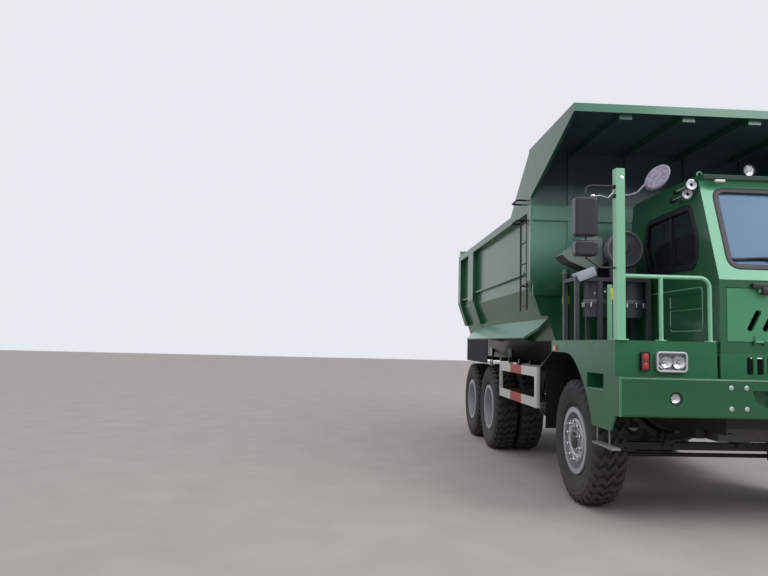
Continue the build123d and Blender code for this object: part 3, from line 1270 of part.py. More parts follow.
def bed_mudguards():
    """Sloped guard plate along each side over the rear tyres, its brackets and the stone rods."""
    front = BODY_FRONT - 40
    sheet = cross_plate(band(GUARD_LINE, GUARD_SHEET), GUARD_END, front)
    (inner, _), (outer, low) = GUARD_LINE
    trim = [(GUARD_CORNER, outer + 60), (GUARD_CORNER, outer), (front + 1, 1560), (front + 1, outer + 60)]
    sheet -= flat_plate(trim, low - 200, GUARD_LINE[0][1] + 200)
    for x in (X_AXLE_2 - 145, BODY_FRONT - 1015):
        sheet += cross_plate([(inner - 20, 1790), (outer - 42, 1830), (1450, 2090), (1440, 2080)], x, x + 40)
    sheet -= cross_plate(SIDE_LINE + [(0, BODY_TOP), (0, BODY_FLOOR)], X_REAR, BODY_FRONT)
    return both_sides(sheet + ejector(X_AXLE_2) + ejector(X_AXLE_3))


def bed_flaps():
    """Rubber skirt hung from the rear part of each mudguard, over the tyres."""
    y = GUARD_LINE[1][0]
    flap = block(GUARD_END, SKIRT_FRONT, y - 14, y, 1420, GUARD_LINE[1][1] + 2)
    return both_sides(flap - bed_mudguards())


LADDER_TOP = BODY_TOP - 130


def bed_ladder():
    """Ladder on the right side panel, below the canopy's cheek."""
    y = -POST_HALF_WIDTH + 12
    shape = None
    x0, x1 = BODY_FRONT - 515, BODY_FRONT - 195
    for x in (x0, x1):
        rail = bar((x, y, 2200), (x, y, LADDER_TOP), 12)
        for z in (2540, LADDER_TOP - 30):
            rail += bar((x, y, z), (x, -PANEL_HALF_WIDTH, z), 10)
        shape = rail if shape is None else shape + rail
    for i in range(5):
        z = 2260 + 285 * i
        shape += bar((x0, y, z), (x1, y, z), 10)
    return shape


# Hoist cylinders

HOIST_ANGLE = atan2(HOIST_EYE_Z - HOIST_BASE_Z, HOIST_EYE_X - HOIST_BASE_X)
HOIST_LENGTH = hypot(HOIST_EYE_Z - HOIST_BASE_Z, HOIST_EYE_X - HOIST_BASE_X)
GLAND = HOIST_LENGTH - 280


def along_hoist(y, distance):
    """Point on a cylinder's line at a distance from its base pin."""
    return (HOIST_BASE_X + distance * cos(HOIST_ANGLE), y, HOIST_BASE_Z + distance * sin(HOIST_ANGLE))


def hoist_barrel():
    """Left barrel with its base eye and the bore for the rod."""
    y = HOIST_Y
    shape = bar(along_hoist(y, 90), along_hoist(y, GLAND), HOIST_BORE)
    eye = bar((HOIST_BASE_X, y - 55, HOIST_BASE_Z), (HOIST_BASE_X, y + 55, HOIST_BASE_Z), 52)
    neck = bar(along_hoist(y, 0), along_hoist(y, 100), 45)
    shape = shape + eye + neck
    shape -= bar((HOIST_BASE_X, y - 80, HOIST_BASE_Z), (HOIST_BASE_X, y + 80, HOIST_BASE_Z), 30 + PIN_GAP)
    return shape - bar(along_hoist(y, 150), along_hoist(y, GLAND + 10), HOIST_ROD + PIN_GAP)


def hoist_rod():
    """Left rod with its eye at the load body's ears."""
    y = HOIST_Y
    shape = bar(along_hoist(y, 155), along_hoist(y, HOIST_LENGTH), HOIST_ROD)
    eye = bar((HOIST_EYE_X, y - 50, HOIST_EYE_Z), (HOIST_EYE_X, y + 50, HOIST_EYE_Z), 62)
    return shape + eye


WHEELS = [("front", X_AXLE_1), ("mid", X_AXLE_2), ("rear", X_AXLE_3)]

SINGLES = {
    "axles": [front_axle_beam, rear_axles],
    "springs": [front_springs],
    "bogie": [bogie],
    "tie_rod": [tie_rod],
    "frame_rails": [frame_rails],
    "crossmembers": [crossmembers, tipping_pin, tow_hitch],
    "driveline": [engine_block, radiator, gearbox, propshafts],
    "bumper": [bumper],
    "decks": [deck_right, fender_left, hung_steps],
    "side_guards": [side_guards],
    "tanks": [fuel_tank, air_tanks],
    "mud_flaps": [mud_flaps],
    "cab_floor": [cab_floor],
    "cab_sides": [cab_right_wall, cab_left_wall],
    "cab_rear": [cab_rear_wall],
    "cab_front": [cab_front],
    "cab_roof": [cab_roof],
    "cab_glass": [windscreen, side_glass],
    "cab_door": [cab_door],
    "door_glass": [door_glass],
    "front_hatch": [front_hatch],
    "driver_seat": [driver_seat],
    "dashboard": [dashboard],
    "headlamps": [headlamps, fog_lamps, roof_lamp],
    "signal_lamps": [signal_lamps, tail_lamps],
    "horns": [horns],
    "deck_railing": [deck_railing],
    "mirrors": [mirror_right, mirror_left],
    "air_cleaner": [air_cleaner, filter_stand, canisters],
    "bed_floor": [bed_floor],
    "bed_sills": [bed_sills],
    "bed_front_wall": [bed_front_wall],
    "bed_canopy": [bed_canopy],
    "bed_mudguards": [bed_mudguards],
    "bed_flaps": [bed_flaps],
    "bed_ladder": [bed_ladder],
    "tailgate": [tailgate]}


def joined(makers):
    """Pieces of one node in one shape: fused where they touch, loose where they do not."""
    shapes = [make() for make in makers]
    return sum(shapes[1:], shapes[0])


def build_all():
    """Every node by name, left pieces first and their right twins after."""
    parts = {name: joined(makers) for name, makers in SINGLES.items()}
    pairs = {"knuckle": knuckle(), "bed_wall": bed_wall()}
    pairs.update({"hoist_barrel": hoist_barrel(), "hoist_rod": hoist_rod()})
    for name, x in WHEELS:
        if name == "front":
            pairs["tyre_front"], pairs["rim_front"] = tyre(x, FRONT_TYRE_Y), front_rim(x)
        else:
            pairs["tyres_" + name] = tyre(x, INNER_TYRE_Y) + tyre(x, OUTER_TYRE_Y)
            pairs["rims_" + name] = rear_rims(x)
    for name, shape in pairs.items():
        parts[name + "_left"] = shape
        parts[name + "_right"] = mirrored(shape)
    return parts


os.makedirs("parts", exist_ok=True)
for node, shape in build_all().items():
    shape.label = node
    export_step(shape, f"parts/{node}.step")
    print(node, len(shape.solids()), "solids")
print("hoist at rest", round(HOIST_LENGTH), "mm long,", round(degrees(HOIST_ANGLE), 2), "degrees")
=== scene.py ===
import json
import math

import bmesh
import bpy
import numpy as np
from mathutils import Matrix, Vector


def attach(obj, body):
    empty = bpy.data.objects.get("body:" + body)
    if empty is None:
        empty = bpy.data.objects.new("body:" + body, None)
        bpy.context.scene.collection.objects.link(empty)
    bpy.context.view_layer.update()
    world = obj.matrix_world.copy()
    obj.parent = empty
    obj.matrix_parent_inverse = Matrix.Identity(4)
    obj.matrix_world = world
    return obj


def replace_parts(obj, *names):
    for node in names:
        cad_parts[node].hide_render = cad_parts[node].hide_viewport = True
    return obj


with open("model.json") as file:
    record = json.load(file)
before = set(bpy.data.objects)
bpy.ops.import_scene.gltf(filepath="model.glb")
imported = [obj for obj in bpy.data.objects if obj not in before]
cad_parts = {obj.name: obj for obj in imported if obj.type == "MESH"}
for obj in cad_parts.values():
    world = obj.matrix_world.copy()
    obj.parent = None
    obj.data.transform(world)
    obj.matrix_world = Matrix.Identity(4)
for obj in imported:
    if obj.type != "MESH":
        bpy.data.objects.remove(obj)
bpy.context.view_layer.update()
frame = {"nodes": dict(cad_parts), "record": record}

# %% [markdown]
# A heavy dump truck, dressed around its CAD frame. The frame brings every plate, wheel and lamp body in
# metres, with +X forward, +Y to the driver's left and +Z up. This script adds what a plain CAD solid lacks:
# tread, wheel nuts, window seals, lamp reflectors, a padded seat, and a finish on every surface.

nodes = frame["nodes"]

# %% [markdown]
# The camera stands where the photographer stood, low on the ground ahead of the truck and to its right. Its
# place and its three angles were solved from the wheels, the bumper and the body. Its three axes are worked
# out from yaw, pitch and roll, and they make the columns of its matrix.

# %% Camera
CAMERA_SPOT = (9.9387, -4.0367, 1.7238)
CAMERA_YAW, CAMERA_PITCH, CAMERA_ROLL = 0.0523, 0.0833, 0.0240
CAMERA_LENS = 30.597
SENSOR_WIDTH = 36.0
SEEN_AS_FAR_AS = 200


def camera_axes(yaw, pitch, roll):
    """Right, up and forward of a view along -X, turned by yaw, raised by pitch, then rolled about itself."""
    forward = np.array([-math.cos(pitch) * math.cos(yaw), math.cos(pitch) * math.sin(yaw), math.sin(pitch)])
    right = np.cross(forward, (0, 0, 1))
    right /= np.linalg.norm(right)
    up = np.cross(right, forward)
    turn = math.cos(roll), math.sin(roll)
    return turn[0] * right + turn[1] * up, turn[0] * up - turn[1] * right, forward


lens = bpy.data.cameras.new("photo_camera")
lens.lens = CAMERA_LENS
lens.sensor_width = SENSOR_WIDTH
lens.sensor_fit = "HORIZONTAL"
lens.clip_end = SEEN_AS_FAR_AS
camera = bpy.data.objects.new("photo_camera", lens)
bpy.context.scene.collection.objects.link(camera)
right, up, forward = camera_axes(CAMERA_YAW, CAMERA_PITCH, CAMERA_ROLL)
camera.matrix_world = Matrix.Translation(CAMERA_SPOT) @ Matrix(np.array([right, up, -forward]).T).to_4x4()
bpy.context.scene.camera = camera
print("camera looks along", forward.round(3))

# %% [markdown]
# The world's light and every finish are graphs of shader nodes. Three helpers make such a graph short to
# write: one feeds a socket with a number or another node, one adds a math node, and one carries a range over.

# %% Shader node helpers
def feed(where, value, socket):
    """A number or colour set on a socket, or another node's output linked to it."""
    if isinstance(value, bpy.types.NodeSocket):
        where.links.new(value, socket)
    else:
        socket.default_value = value


def maths(where, operation, first, second=None):
    """Math node fed by sockets or numbers; returns its output."""
    node = where.nodes.new("ShaderNodeMath")
    node.operation = operation
    feed(where, first, node.inputs[0])
    if second is not None:
        feed(where, second, node.inputs[1])
    return node.outputs[0]


def ranged(where, value, start, end, low=0.0, high=1.0):
    """Value from start to end carried over to low to high."""
    node = where.nodes.new("ShaderNodeMapRange")
    feed(where, value, node.inputs["Value"])
    for label, limit in (("From Min", start), ("From Max", end), ("To Min", low), ("To Max", high)):
        feed(where, limit, node.inputs[label])
    return node.outputs["Result"]


print("node helpers", [helper.__name__ for helper in (feed, maths, ranged)])

# %% [markdown]
# Under an overcast sky the light comes from everywhere, a little more from above and from ahead. A pale world
# gives the even part, and a very wide sun, whose shadows are soft, the part from above. One large lamp stands
# high in front on the left: sloped paint that leans back mirrors it and turns pale, as it does under a bright
# cloud. Rays that go straight to the camera, or by way of a mirror or a pane, see a pale background.

# %% Light and world
SKY = (0.80, 0.82, 0.87, 1)
SKY_LIGHT, SKY_SEEN = 0.50, 1.0
LAMPS = [  # kind, name, place, point aimed at, size in metres or width in radians, power or strength
    ("SUN", "cloud_light", (2.5, -3.0, 9.0), (0, 0, 0), 1.6, 1.15),
    ("AREA", "front_light", (11.9, 7.6, 11.3), (3.8, 0, 2.8), 9.0, 1350.0)]
world = bpy.data.worlds.new("studio")
bpy.context.scene.world = world
world.use_nodes = True
tree = world.node_tree
background = tree.nodes["Background"]
rays = tree.nodes.new("ShaderNodeLightPath").outputs
seen = maths(tree, "MAXIMUM", rays["Is Camera Ray"], rays["Is Transmission Ray"])
seen = maths(tree, "MAXIMUM", seen, rays["Is Glossy Ray"])
feed(tree, ranged(tree, seen, 0.0, 1.0, SKY_LIGHT, SKY_SEEN), background.inputs["Strength"])
background.inputs["Color"].default_value = SKY
for kind, name, spot, aim, size, power in LAMPS:
    light = bpy.data.lights.new(name, kind)
    setattr(light, "angle" if kind == "SUN" else "size", size)
    light.energy = power
    holder = bpy.data.objects.new(name, light)
    holder.location = spot
    holder.rotation_euler = (Vector(aim) - Vector(spot)).to_track_quat("-Z", "Y").to_euler()
    bpy.context.scene.collection.objects.link(holder)
bpy.context.scene.view_settings.view_transform = "Standard"
print("lamps", [lamp[1] for lamp in LAMPS])

# %% [markdown]
# Every added piece is a surface of points and faces, held as two arrays until it is finished. A grid of
# points gives its faces by counting: each quad joins a point to its neighbours in the next row and the next
# column. A wrapped side joins its last line to its first, which closes a ring or a tyre.

# %% Grids and their faces
def grid(points, wrap_rows=False, wrap_columns=False):
    """A rows by columns by 3 array of points as a shape: quads (r, c), (r+1, c), (r+1, c+1), (r, c+1)."""
    rows, columns = points.shape[:2]
    r, c = np.meshgrid(np.arange(rows - (not wrap_rows)), np.arange(columns - (not wrap_columns)),
                       indexing="ij")
    r2, c2 = (r + 1) % rows, (c + 1) % columns
    faces = np.stack([r * columns + c, r2 * columns + c, r2 * columns + c2, r * columns + c2], -1)
    return points.reshape(-1, 3), faces.reshape(-1, 4)


def joined(shapes):
    """Several shapes as one: the face numbers of each are raised by the count of the points before it."""
    before = np.cumsum([0] + [len(points) for points, _ in shapes[:-1]])
    return (np.concatenate([points for points, _ in shapes]),
            np.concatenate([faces + count for (_, faces), count in zip(shapes, before)]))


print("a 3 by 3 grid has", len(grid(np.zeros((3, 3, 3)))[1]), "faces")

# %% [markdown]
# Much on a truck comes twice or in rows: left and right, bolt after bolt. Such a shape is made once and then
# copied, mirrored or aimed along another axis. These are plain sums on its array of points, so they are
# quick, and every copy is exactly alike.

# %% Copies, mirrors and turns
def copies(shape, spots):
    """The shape shifted to a spot, or again at each of several: points plus offset, for all at once."""
    points, faces = shape
    spots = np.atleast_2d(np.asarray(spots, float))
    many = (points[None] + spots[:, None]).reshape(-1, 3)
    raised = faces[None] + (np.arange(len(spots)) * len(points))[:, None, None]
    return many, raised.reshape(-1, 4)


def sized(shape, factor):
    """The shape scaled about the origin."""
    return shape[0] * factor, shape[1]


def mirrored(shape):
    """The shape on the other side of the truck: y changes sign and each quad turns round."""
    return shape[0] * (1, -1, 1), shape[1][:, ::-1]


def both(shape):
    """The shape and its twin on the other side."""
    return joined([shape, mirrored(shape)])


def aimed(shape, axis):
    """A shape made along +Y, turned so that its +Y points along the axis (x, y or z, with a sign)."""
    points, faces = shape
    sign = -1 if axis[0] == "-" else 1
    x, y, z = points.T
    way = {"x": (sign * y, -sign * x, z), "y": (sign * x, sign * y, z), "z": (x, -sign * z, sign * y)}
    return np.stack(way[axis[-1]], -1), faces


print("both sides of a grid have", len(both(grid(np.zeros((3, 3, 3))))[1]), "faces")

# %% [markdown]
# Round things such as hubs, lamps and rings are cut on a lathe or spun, and the same idea makes them here: a
# profile is turned about an axis. With six steps the same call makes a hexagon nut.

# %% Turned forms
def turned(profile, steps, axis="y", spots=(0, 0, 0)):
    """Profile of (along, radius) points round an axis: x = r cos t, z = r sin t, y = along, then aimed."""
    along, radius = np.asarray(profile, float).T
    t = np.linspace(0, 2 * np.pi, steps, endpoint=False)
    rows = np.stack([radius[:, None] * np.cos(t), np.broadcast_to(along[:, None], (len(along), steps)),
                     radius[:, None] * np.sin(t)], -1)
    return copies(aimed(grid(rows, wrap_columns=True), axis), spots)


print("a six-sided disc has", len(turned([(0, 0), (0, 1), (1, 1), (1, 0)], 6)[1]), "faces")

# %% [markdown]
# Pipes, seals and straps have one outline all along. So a small outline is carried along a path, and the
# path's corners are rounded, because a real pipe can't be bent in a point.

# %% Swept forms
def swept(path, section, normal, closed=False):
    """Outline carried along a path: each path point plus a times the side vector plus b times the normal."""
    path, section = np.asarray(path, float), np.asarray(section, float)
    ahead = np.roll(path, -1, 0) - np.roll(path, 1, 0) if closed else np.gradient(path, axis=0)
    side = np.cross(ahead, normal)
    side /= np.linalg.norm(side, axis=1)[:, None]
    lift = np.cross(side, ahead)
    lift /= np.linalg.norm(lift, axis=1)[:, None]
    rings = path[:, None] + section[None, :, :1] * side[:, None] + section[None, :, 1:] * lift[:, None]
    if not closed:
        rings = np.concatenate([rings[:1].mean(1, keepdims=True).repeat(len(section), 1), rings,
                                rings[-1:].mean(1, keepdims=True).repeat(len(section), 1)])
    return grid(rings, wrap_rows=closed, wrap_columns=True)


def circle(radius, sides):
    """Round outline: a = r cos t, b = r sin t."""
    t = np.linspace(0, 2 * np.pi, sides, endpoint=False)
    return np.stack([radius * np.cos(t), radius * np.sin(t)], -1)


BEND_STEPS = 7


def bent(corners, radius, closed=False):
    """Path with rounded corners: each one is a curve (1-t)^2 before + 2 t (1-t) corner + t^2 after."""
    corners = np.asarray(corners, float)
    inner = corners if closed else corners[1:-1]
    back = (np.roll(corners, 1, 0) if closed else corners[:-2]) - inner
    ahead = (np.roll(corners, -1, 0) if closed else corners[2:]) - inner
    back /= np.linalg.norm(back, axis=1)[:, None]
    ahead /= np.linalg.norm(ahead, axis=1)[:, None]
    reach = radius / np.tan(np.arccos(np.clip((back * ahead).sum(1), -1, 1)) / 2)
    t = np.linspace(0, 1, BEND_STEPS)[None, :, None]
    before, after = inner + reach[:, None] * back, inner + reach[:, None] * ahead
    arcs = (1 - t) ** 2 * before[:, None] + 2 * t * (1 - t) * inner[:, None] + t ** 2 * after[:, None]
    path = arcs.reshape(-1, corners.shape[1])
    return path if closed else np.concatenate([corners[:1], path, corners[-1:]])


def strip(width, low, high, power=0.35, sides=16):
    """Soft bar outline: a = w/2 c, b goes from low to high with s; c and s are cos t and sin t to a power."""
    t = (np.arange(sides) + 0.5) * 2 * np.pi / sides
    c, s = (np.sign(v) * np.abs(v) ** power for v in (np.cos(t), np.sin(t)))
    return np.stack([width / 2 * c, (high + low) / 2 + (high - low) / 2 * s], -1)


def pipe(corners, radius, bend, normal=(0, 0, 1), sides=12):
    """Round pipe along a line with rounded corners."""
    return swept(bent(corners, bend), circle(radius, sides), normal)


print("pipe points", len(pipe([(0, 0, 0), (1, 0, 0), (1, 1, 0)], 0.01, 0.1)[0]))

# %% [markdown]
# Moulded and pressed housings have soft corners, which catch a line of light. A ball whose eight parts are
# pushed out to the corners of a box gives such a housing at once, without a bevel afterwards.

# %% Soft-cornered boxes
def soft_box(centre, half, corner, steps=6):
    """Ball of radius corner, each point pushed out by the sign of its direction times half less corner."""
    quarter = (np.arange(steps) + 0.5) * np.pi / 2 / steps
    t = np.concatenate([quarter + i * np.pi / 2 for i in range(4)])[None, :]
    p = np.concatenate([[0], quarter, np.pi - quarter[::-1], [np.pi]])[:, None]
    way = np.stack([np.sin(p) * np.cos(t), np.sin(p) * np.sin(t), np.cos(p) * np.ones_like(t)], -1)
    push = np.sign(way) * (np.asarray(half, float) - corner)
    push[[0, -1], :, :2] = 0
    return grid(np.asarray(centre, float) + corner * way + push, wrap_columns=True)


print("soft box faces", len(soft_box((0, 0, 0), (1, 1, 1), 0.1)[1]))

# %% [markdown]
# A shape becomes a piece here. Points that meet are merged, which closes the poles and seams, the faces are
# turned outward, and edges sharper than the crease angle stay sharp. Then it gets its finish and rides on a
# body of the truck, the chassis unless another is named.

# %% From a shape to a piece
MEET, VANISH = 1e-5, 1e-6
SKINS = {}  # every finish by its name, filled by the cells below


def piece(name, shape, skin, body="chassis", crease=35):
    """Mesh object made from a shape, with the finish called skin, on its body."""
    points, faces = shape
    mesh = bpy.data.meshes.new(name)
    mesh.vertices.add(len(points))
    mesh.vertices.foreach_set("co", points.astype(np.float32).ravel())
    mesh.loops.add(faces.size)
    mesh.loops.foreach_set("vertex_index", faces.astype(np.int32).ravel())
    mesh.polygons.add(len(faces))
    mesh.polygons.foreach_set("loop_start", np.arange(0, faces.size, 4, dtype=np.int32))
    mesh.update(calc_edges=True)
    form = bmesh.new()
    form.from_mesh(mesh)
    bmesh.ops.remove_doubles(form, verts=form.verts, dist=MEET)
    bmesh.ops.dissolve_degenerate(form, edges=form.edges, dist=VANISH)
    bmesh.ops.recalc_face_normals(form, faces=form.faces)
    form.to_mesh(mesh)
    form.free()
    mesh.shade_smooth()
    mesh.set_sharp_from_angle(angle=math.radians(crease))
    mesh.materials.append(SKINS[skin])
    obj = bpy.data.objects.new(name, mesh)
    bpy.context.scene.collection.objects.link(obj)
    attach(obj, body)
    print(name, len(mesh.polygons), "faces on", body)
    return obj


print("points within", MEET, "m of each other become one")

# %% [markdown]
# Dirt and wear depend on the place on the truck and on the way a surface looks, such as up to the sky. The
# place comes from Object coordinates, which need no unwrapping and move with the piece, and the look from
# the normal.

# %% Noise and measures
def noise(where, scale, detail):
    """Noise on Object coordinates; scale is a number or a socket."""
    node = where.nodes.new("ShaderNodeTexNoise")
    where.links.new(where.nodes.new("ShaderNodeTexCoord").outputs["Object"], node.inputs["Vector"])
    node.inputs["Detail"].default_value = detail
    feed(where, scale, node.inputs["Scale"])
    return node.outputs["Fac"]


def measured(where, name):
    """x, y or z of the place; side, the distance from the middle; look_x or look_z, from the normal."""
    if name == "side":
        return maths(where, "ABSOLUTE", measured(where, "y"))
    split = where.nodes.new("ShaderNodeSeparateXYZ")
    source = where.nodes.new("ShaderNodeTexCoord").outputs["Normal" if "look" in name else "Object"]
    where.links.new(source, split.inputs[0])
    return split.outputs[name[-1].upper()]


print("measures", ["x", "y", "z", "side", "look_x", "look_z"])

# %% [markdown]
# Several finishes share a few effects, so each effect is a small shader group. Road dust lies on what is low,
# and a noise breaks up its edge. Grain gives paint, rubber and castings their fine unevenness as a value and
# as a bump. The groups put out only masks, values and normals, and each finish mixes them with its colours.

# %% Shader groups
def group(name, inputs, outputs):
    """Empty shader group with float inputs and outputs; returns it, its input node and its output node."""
    made = bpy.data.node_groups.new(name, "ShaderNodeTree")
    for label, value in inputs:
        socket = made.interface.new_socket(label, in_out="INPUT", socket_type="NodeSocketFloat")
        socket.default_value = value
    for label, kind in outputs:
        made.interface.new_socket(label, in_out="OUTPUT", socket_type=kind)
    return made, made.nodes.new("NodeGroupInput"), made.nodes.new("NodeGroupOutput")


def dust_group():
    """Mask of road dust: strongest at Low, gone at High, broken up by two noises and scaled by Amount."""
    made, given, out = group("road_dust", [("Low", 0.0), ("High", 1.4), ("Amount", 0.5)],
                             [("Mask", "NodeSocketFloat")])
    low, high, amount = (given.outputs[label] for label in ("Low", "High", "Amount"))
    fade = ranged(made, measured(made, "z"), low, high, 1.0, 0.0)
    patches = maths(made, "MULTIPLY", noise(made, 2.3, 5.0), noise(made, 17.0, 4.0))
    spread = maths(made, "MULTIPLY", maths(made, "ADD", patches, 0.1), 2.4)
    mask = maths(made, "MULTIPLY", maths(made, "MULTIPLY", spread, fade), amount)
    made.links.new(maths(made, "MINIMUM", mask, 1.0), out.inputs["Mask"])
    return made


def grain_group():
    """Fine unevenness: Value is a noise about 0.5 at Scale, and Normal is the same as a bump of Depth."""
    made, given, out = group("grain", [("Scale", 200.0), ("Depth", 0.1), ("Rise", 0.001)],
                             [("Value", "NodeSocketFloat"), ("Normal", "NodeSocketVector")])
    fine = noise(made, given.outputs["Scale"], 3.0)
    bump = made.nodes.new("ShaderNodeBump")
    made.links.new(fine, bump.inputs["Height"])
    made.links.new(given.outputs["Depth"], bump.inputs["Strength"])
    made.links.new(given.outputs["Rise"], bump.inputs["Distance"])
    made.links.new(fine, out.inputs["Value"])
    made.links.new(bump.outputs["Normal"], out.inputs["Normal"])
    return made


DUST = dust_group()
GRAIN = grain_group()
print("groups", [g.name for g in bpy.data.node_groups])

# %% [markdown]
# A finish is one Principled shader. Its colour starts from the piece's own colour, moves a little with a
# broad noise, and turns to dust where the dust mask says. Roughness follows the same masks, so dust is dull
# and clean paint stays glossy.

# %% Finish maker
DUST_COLOUR = (0.30, 0.27, 0.235)
DUST_DULLS = 0.35
NOISE_SPAN = (0.3, 0.7)


def placed(where, shared, **values):
    """A shader group's node in a finish, with its values set on its sockets."""
    node = where.nodes.new("ShaderNodeGroup")
    node.node_tree = shared
    for label, value in values.items():
        node.inputs[label].default_value = value
    return node.outputs


def mixed(where, mask, first, second):
    """Colour mix: first where the mask is 0, second where it is 1; each is a colour or a socket."""
    node = where.nodes.new("ShaderNodeMix")
    node.data_type = "RGBA"
    where.links.new(mask, node.inputs["Factor"])
    for value, socket in ((first, node.inputs[6]), (second, node.inputs[7])):
        feed(where, (*value, 1) if isinstance(value, tuple) else value, socket)
    return node.outputs[2]


def finish(name, colour, rough, spread, dust=0.0, dust_top=1.6, grain=(220.0, 0.1, 0.0006), tint=None,
           **shader):
    """Material: colour with a broad noise, dust by height, fine grain; tint may change the clean colour."""
    made = bpy.data.materials.new(name)
    made.use_nodes = True
    where = made.node_tree
    principled = where.nodes["Principled BSDF"]
    paler = tuple(min(1.0, c * (1 + spread) + 0.02 * spread) for c in colour)
    deeper = tuple(c * (1 - spread) for c in colour)
    clean = mixed(where, ranged(where, noise(where, 1.7, 4.0), *NOISE_SPAN), deeper, paler)
    if tint:
        clean = tint(where, clean)
    mask = placed(where, DUST, High=dust_top, Amount=dust)["Mask"]
    where.links.new(mixed(where, mask, clean, DUST_COLOUR), principled.inputs["Base Color"])
    fine = placed(where, GRAIN, Scale=grain[0], Depth=grain[1], Rise=grain[2])
    where.links.new(fine["Normal"], principled.inputs["Normal"])
    uneven = ranged(where, fine["Value"], *NOISE_SPAN, *rough)
    dulled = maths(where, "ADD", uneven, maths(where, "MULTIPLY", mask, DUST_DULLS))
    where.links.new(maths(where, "MINIMUM", dulled, 1.0), principled.inputs["Roughness"])
    for label, value in shader.items():
        principled.inputs[label.replace("_", " ")].default_value = value
    SKINS[name] = made
    return made


print("dust colour", DUST_COLOUR)

# %% [markdown]
# On the real truck one coat of paint looks pale where it leans to the sky and mirrors it, and dark in the
# shade under the canopy and under the body. Here that light and shade are painted into the colour. These
# differences follow the plates, so each is a layer of colour with limits: it lies where the place and the
# way the surface looks are between them. A paint is then a list of layers.

# %% Layers of colour
def within(where, **limits):
    """1 where each named measure is between its two limits, as a product of comparisons; None is no limit."""
    mask = None
    for name, (low, high) in limits.items():
        measure = measured(where, name)
        for operation, limit in (("GREATER_THAN", low), ("LESS_THAN", high)):
            if limit is not None:
                test = maths(where, operation, measure, limit)
                mask = test if mask is None else maths(where, "MULTIPLY", mask, test)
    return mask


def layered(*layers):
    """Tint that lays each colour over the clean one where its limits hold; a later layer hides an earlier."""
    def tint(where, clean):
        for colour, limits in layers:
            over = colour(where) if callable(colour) else colour
            clean = mixed(where, within(where, **limits), clean, over)
        return clean
    return tint


DARK = (0.016, 0.018, 0.020)
# Painted shade under the canopy and on the front wall's top, blue-grey as that shade is.
PAINTED_SHADE = (0.028, 0.050, 0.062)
print("dark", DARK, "painted_shade", PAINTED_SHADE)

# %% [markdown]
# Seven coats of the truck's green have layers. Each coat is listed with its colours and where they lie, as
# data and not as code, so a colour or a limit is changed in one place.

# %% Layers of the paints
# Lighter green on the raked faces round the windscreen: a painted sky reflection.
SKY_SHEEN_GREEN = (0.105, 0.400, 0.225)
BELT_Z = 2.40
LAYERS = {
    # Painted sky reflection on the front lip, which leans back; painted shade on the underside and ribs.
    "canopy_paint": [((0.075, 0.215, 0.140), dict(look_x=(0.5, None), x=(3.0, None))),
                     (PAINTED_SHADE, dict(look_z=(None, -0.4), z=(4.1, None))),
                     (PAINTED_SHADE, dict(z=(4.02, 4.262), x=(None, 3.09), side=(None, 1.60)))],
    # Painted sky light on the plates' tops, which look up; dark stone rods and brackets inboard of them.
    "mudguard_paint": [((0.150, 0.350, 0.270), dict(look_z=(0.3, None))), (DARK, dict(side=(None, 1.30)))],
    # Painted sky reflection: lighter green on the raked frame round the windscreen, above the belt.
    "front_paint": [(SKY_SHEEN_GREEN, dict(z=(BELT_Z, None)))],
    # Painted shade: dark green on the visor's front, which leans away from the sky.
    "roof_paint": [((0.006, 0.022, 0.014), dict(look_x=(0.9, None), z=(None, 3.474)))],
    # Painted sky reflection on the raked front edges; a black bar in the middle of the right window.
    "side_paint": [(SKY_SHEEN_GREEN, dict(look_x=(0.5, None), x=(3.5, None), z=(BELT_Z, None))),
                   (DARK, dict(x=(2.990, 3.040), z=(2.58, 3.20), y=(None, 0.0)))],
    # Painted highlight: paler along the bumper's rounded outer edges, which catch the light.
    "bumper_paint": [((0.075, 0.280, 0.155), dict(side=(1.537, None), x=(4.03, None)))],
    # Painted shade: nearly black below the mudguards' height, where the body's lower parts lie in shadow.
    "under_paint": [((0.010, 0.012, 0.013), dict(z=(None, 1.80)))]}
print("layers for", list(LAYERS))

# %% [markdown]
# The truck's green is a deep gloss paint with a clear top layer, a little uneven like sprayed steel plate.
# The posts and the rail are paler, a painted sky highlight, and the front lid is a fresher green. The outside
# of the body's front wall goes from the plain paint to a grey-green painted sky sheen and then to painted
# shadow of the canopy near its top, by soft steps in height.

# %% Green paint
GREEN = (0.014, 0.102, 0.042)
# Paler green on the posts, the rail and small pale trim: a painted sky highlight.
SKY_LIT_GREEN = (0.205, 0.490, 0.315)
LID_GREEN = (0.055, 0.250, 0.120)


def green(name, tint=None, colour=GREEN, gloss=0.45):
    """The truck's green gloss paint, which a piece may tint; gloss is the weight of its clear top layer."""
    return finish(name, colour, rough=(0.30, 0.40), spread=0.10, dust=0.10, dust_top=1.3, tint=tint,
                  grain=(26.0, 0.16, 0.002), Specular_IOR_Level=0.2, Coat_Weight=gloss, Coat_Roughness=0.14)


def wall_tint(where, clean):
    """Front wall outside: plain paint low, painted grey-green sky sheen, then painted canopy shadow in two
    steps.
    """
    z = measured(where, "z")
    # Grey-green painted sky sheen on the wall's upper part.
    upper = (0.170, 0.390, 0.300)
    # Painted shadow of the canopy: a darker band, then darkest at the top.
    for colour, start, end in (((0.120, 0.220, 0.190), 3.54, 3.60), (PAINTED_SHADE, 3.66, 3.86)):
        upper = mixed(where, ranged(where, z, start, end), upper, colour)
    outside = maths(where, "MULTIPLY", within(where, look_x=(-0.3, None)), ranged(where, z, 2.50, 3.10))
    return mixed(where, outside, clean, upper)


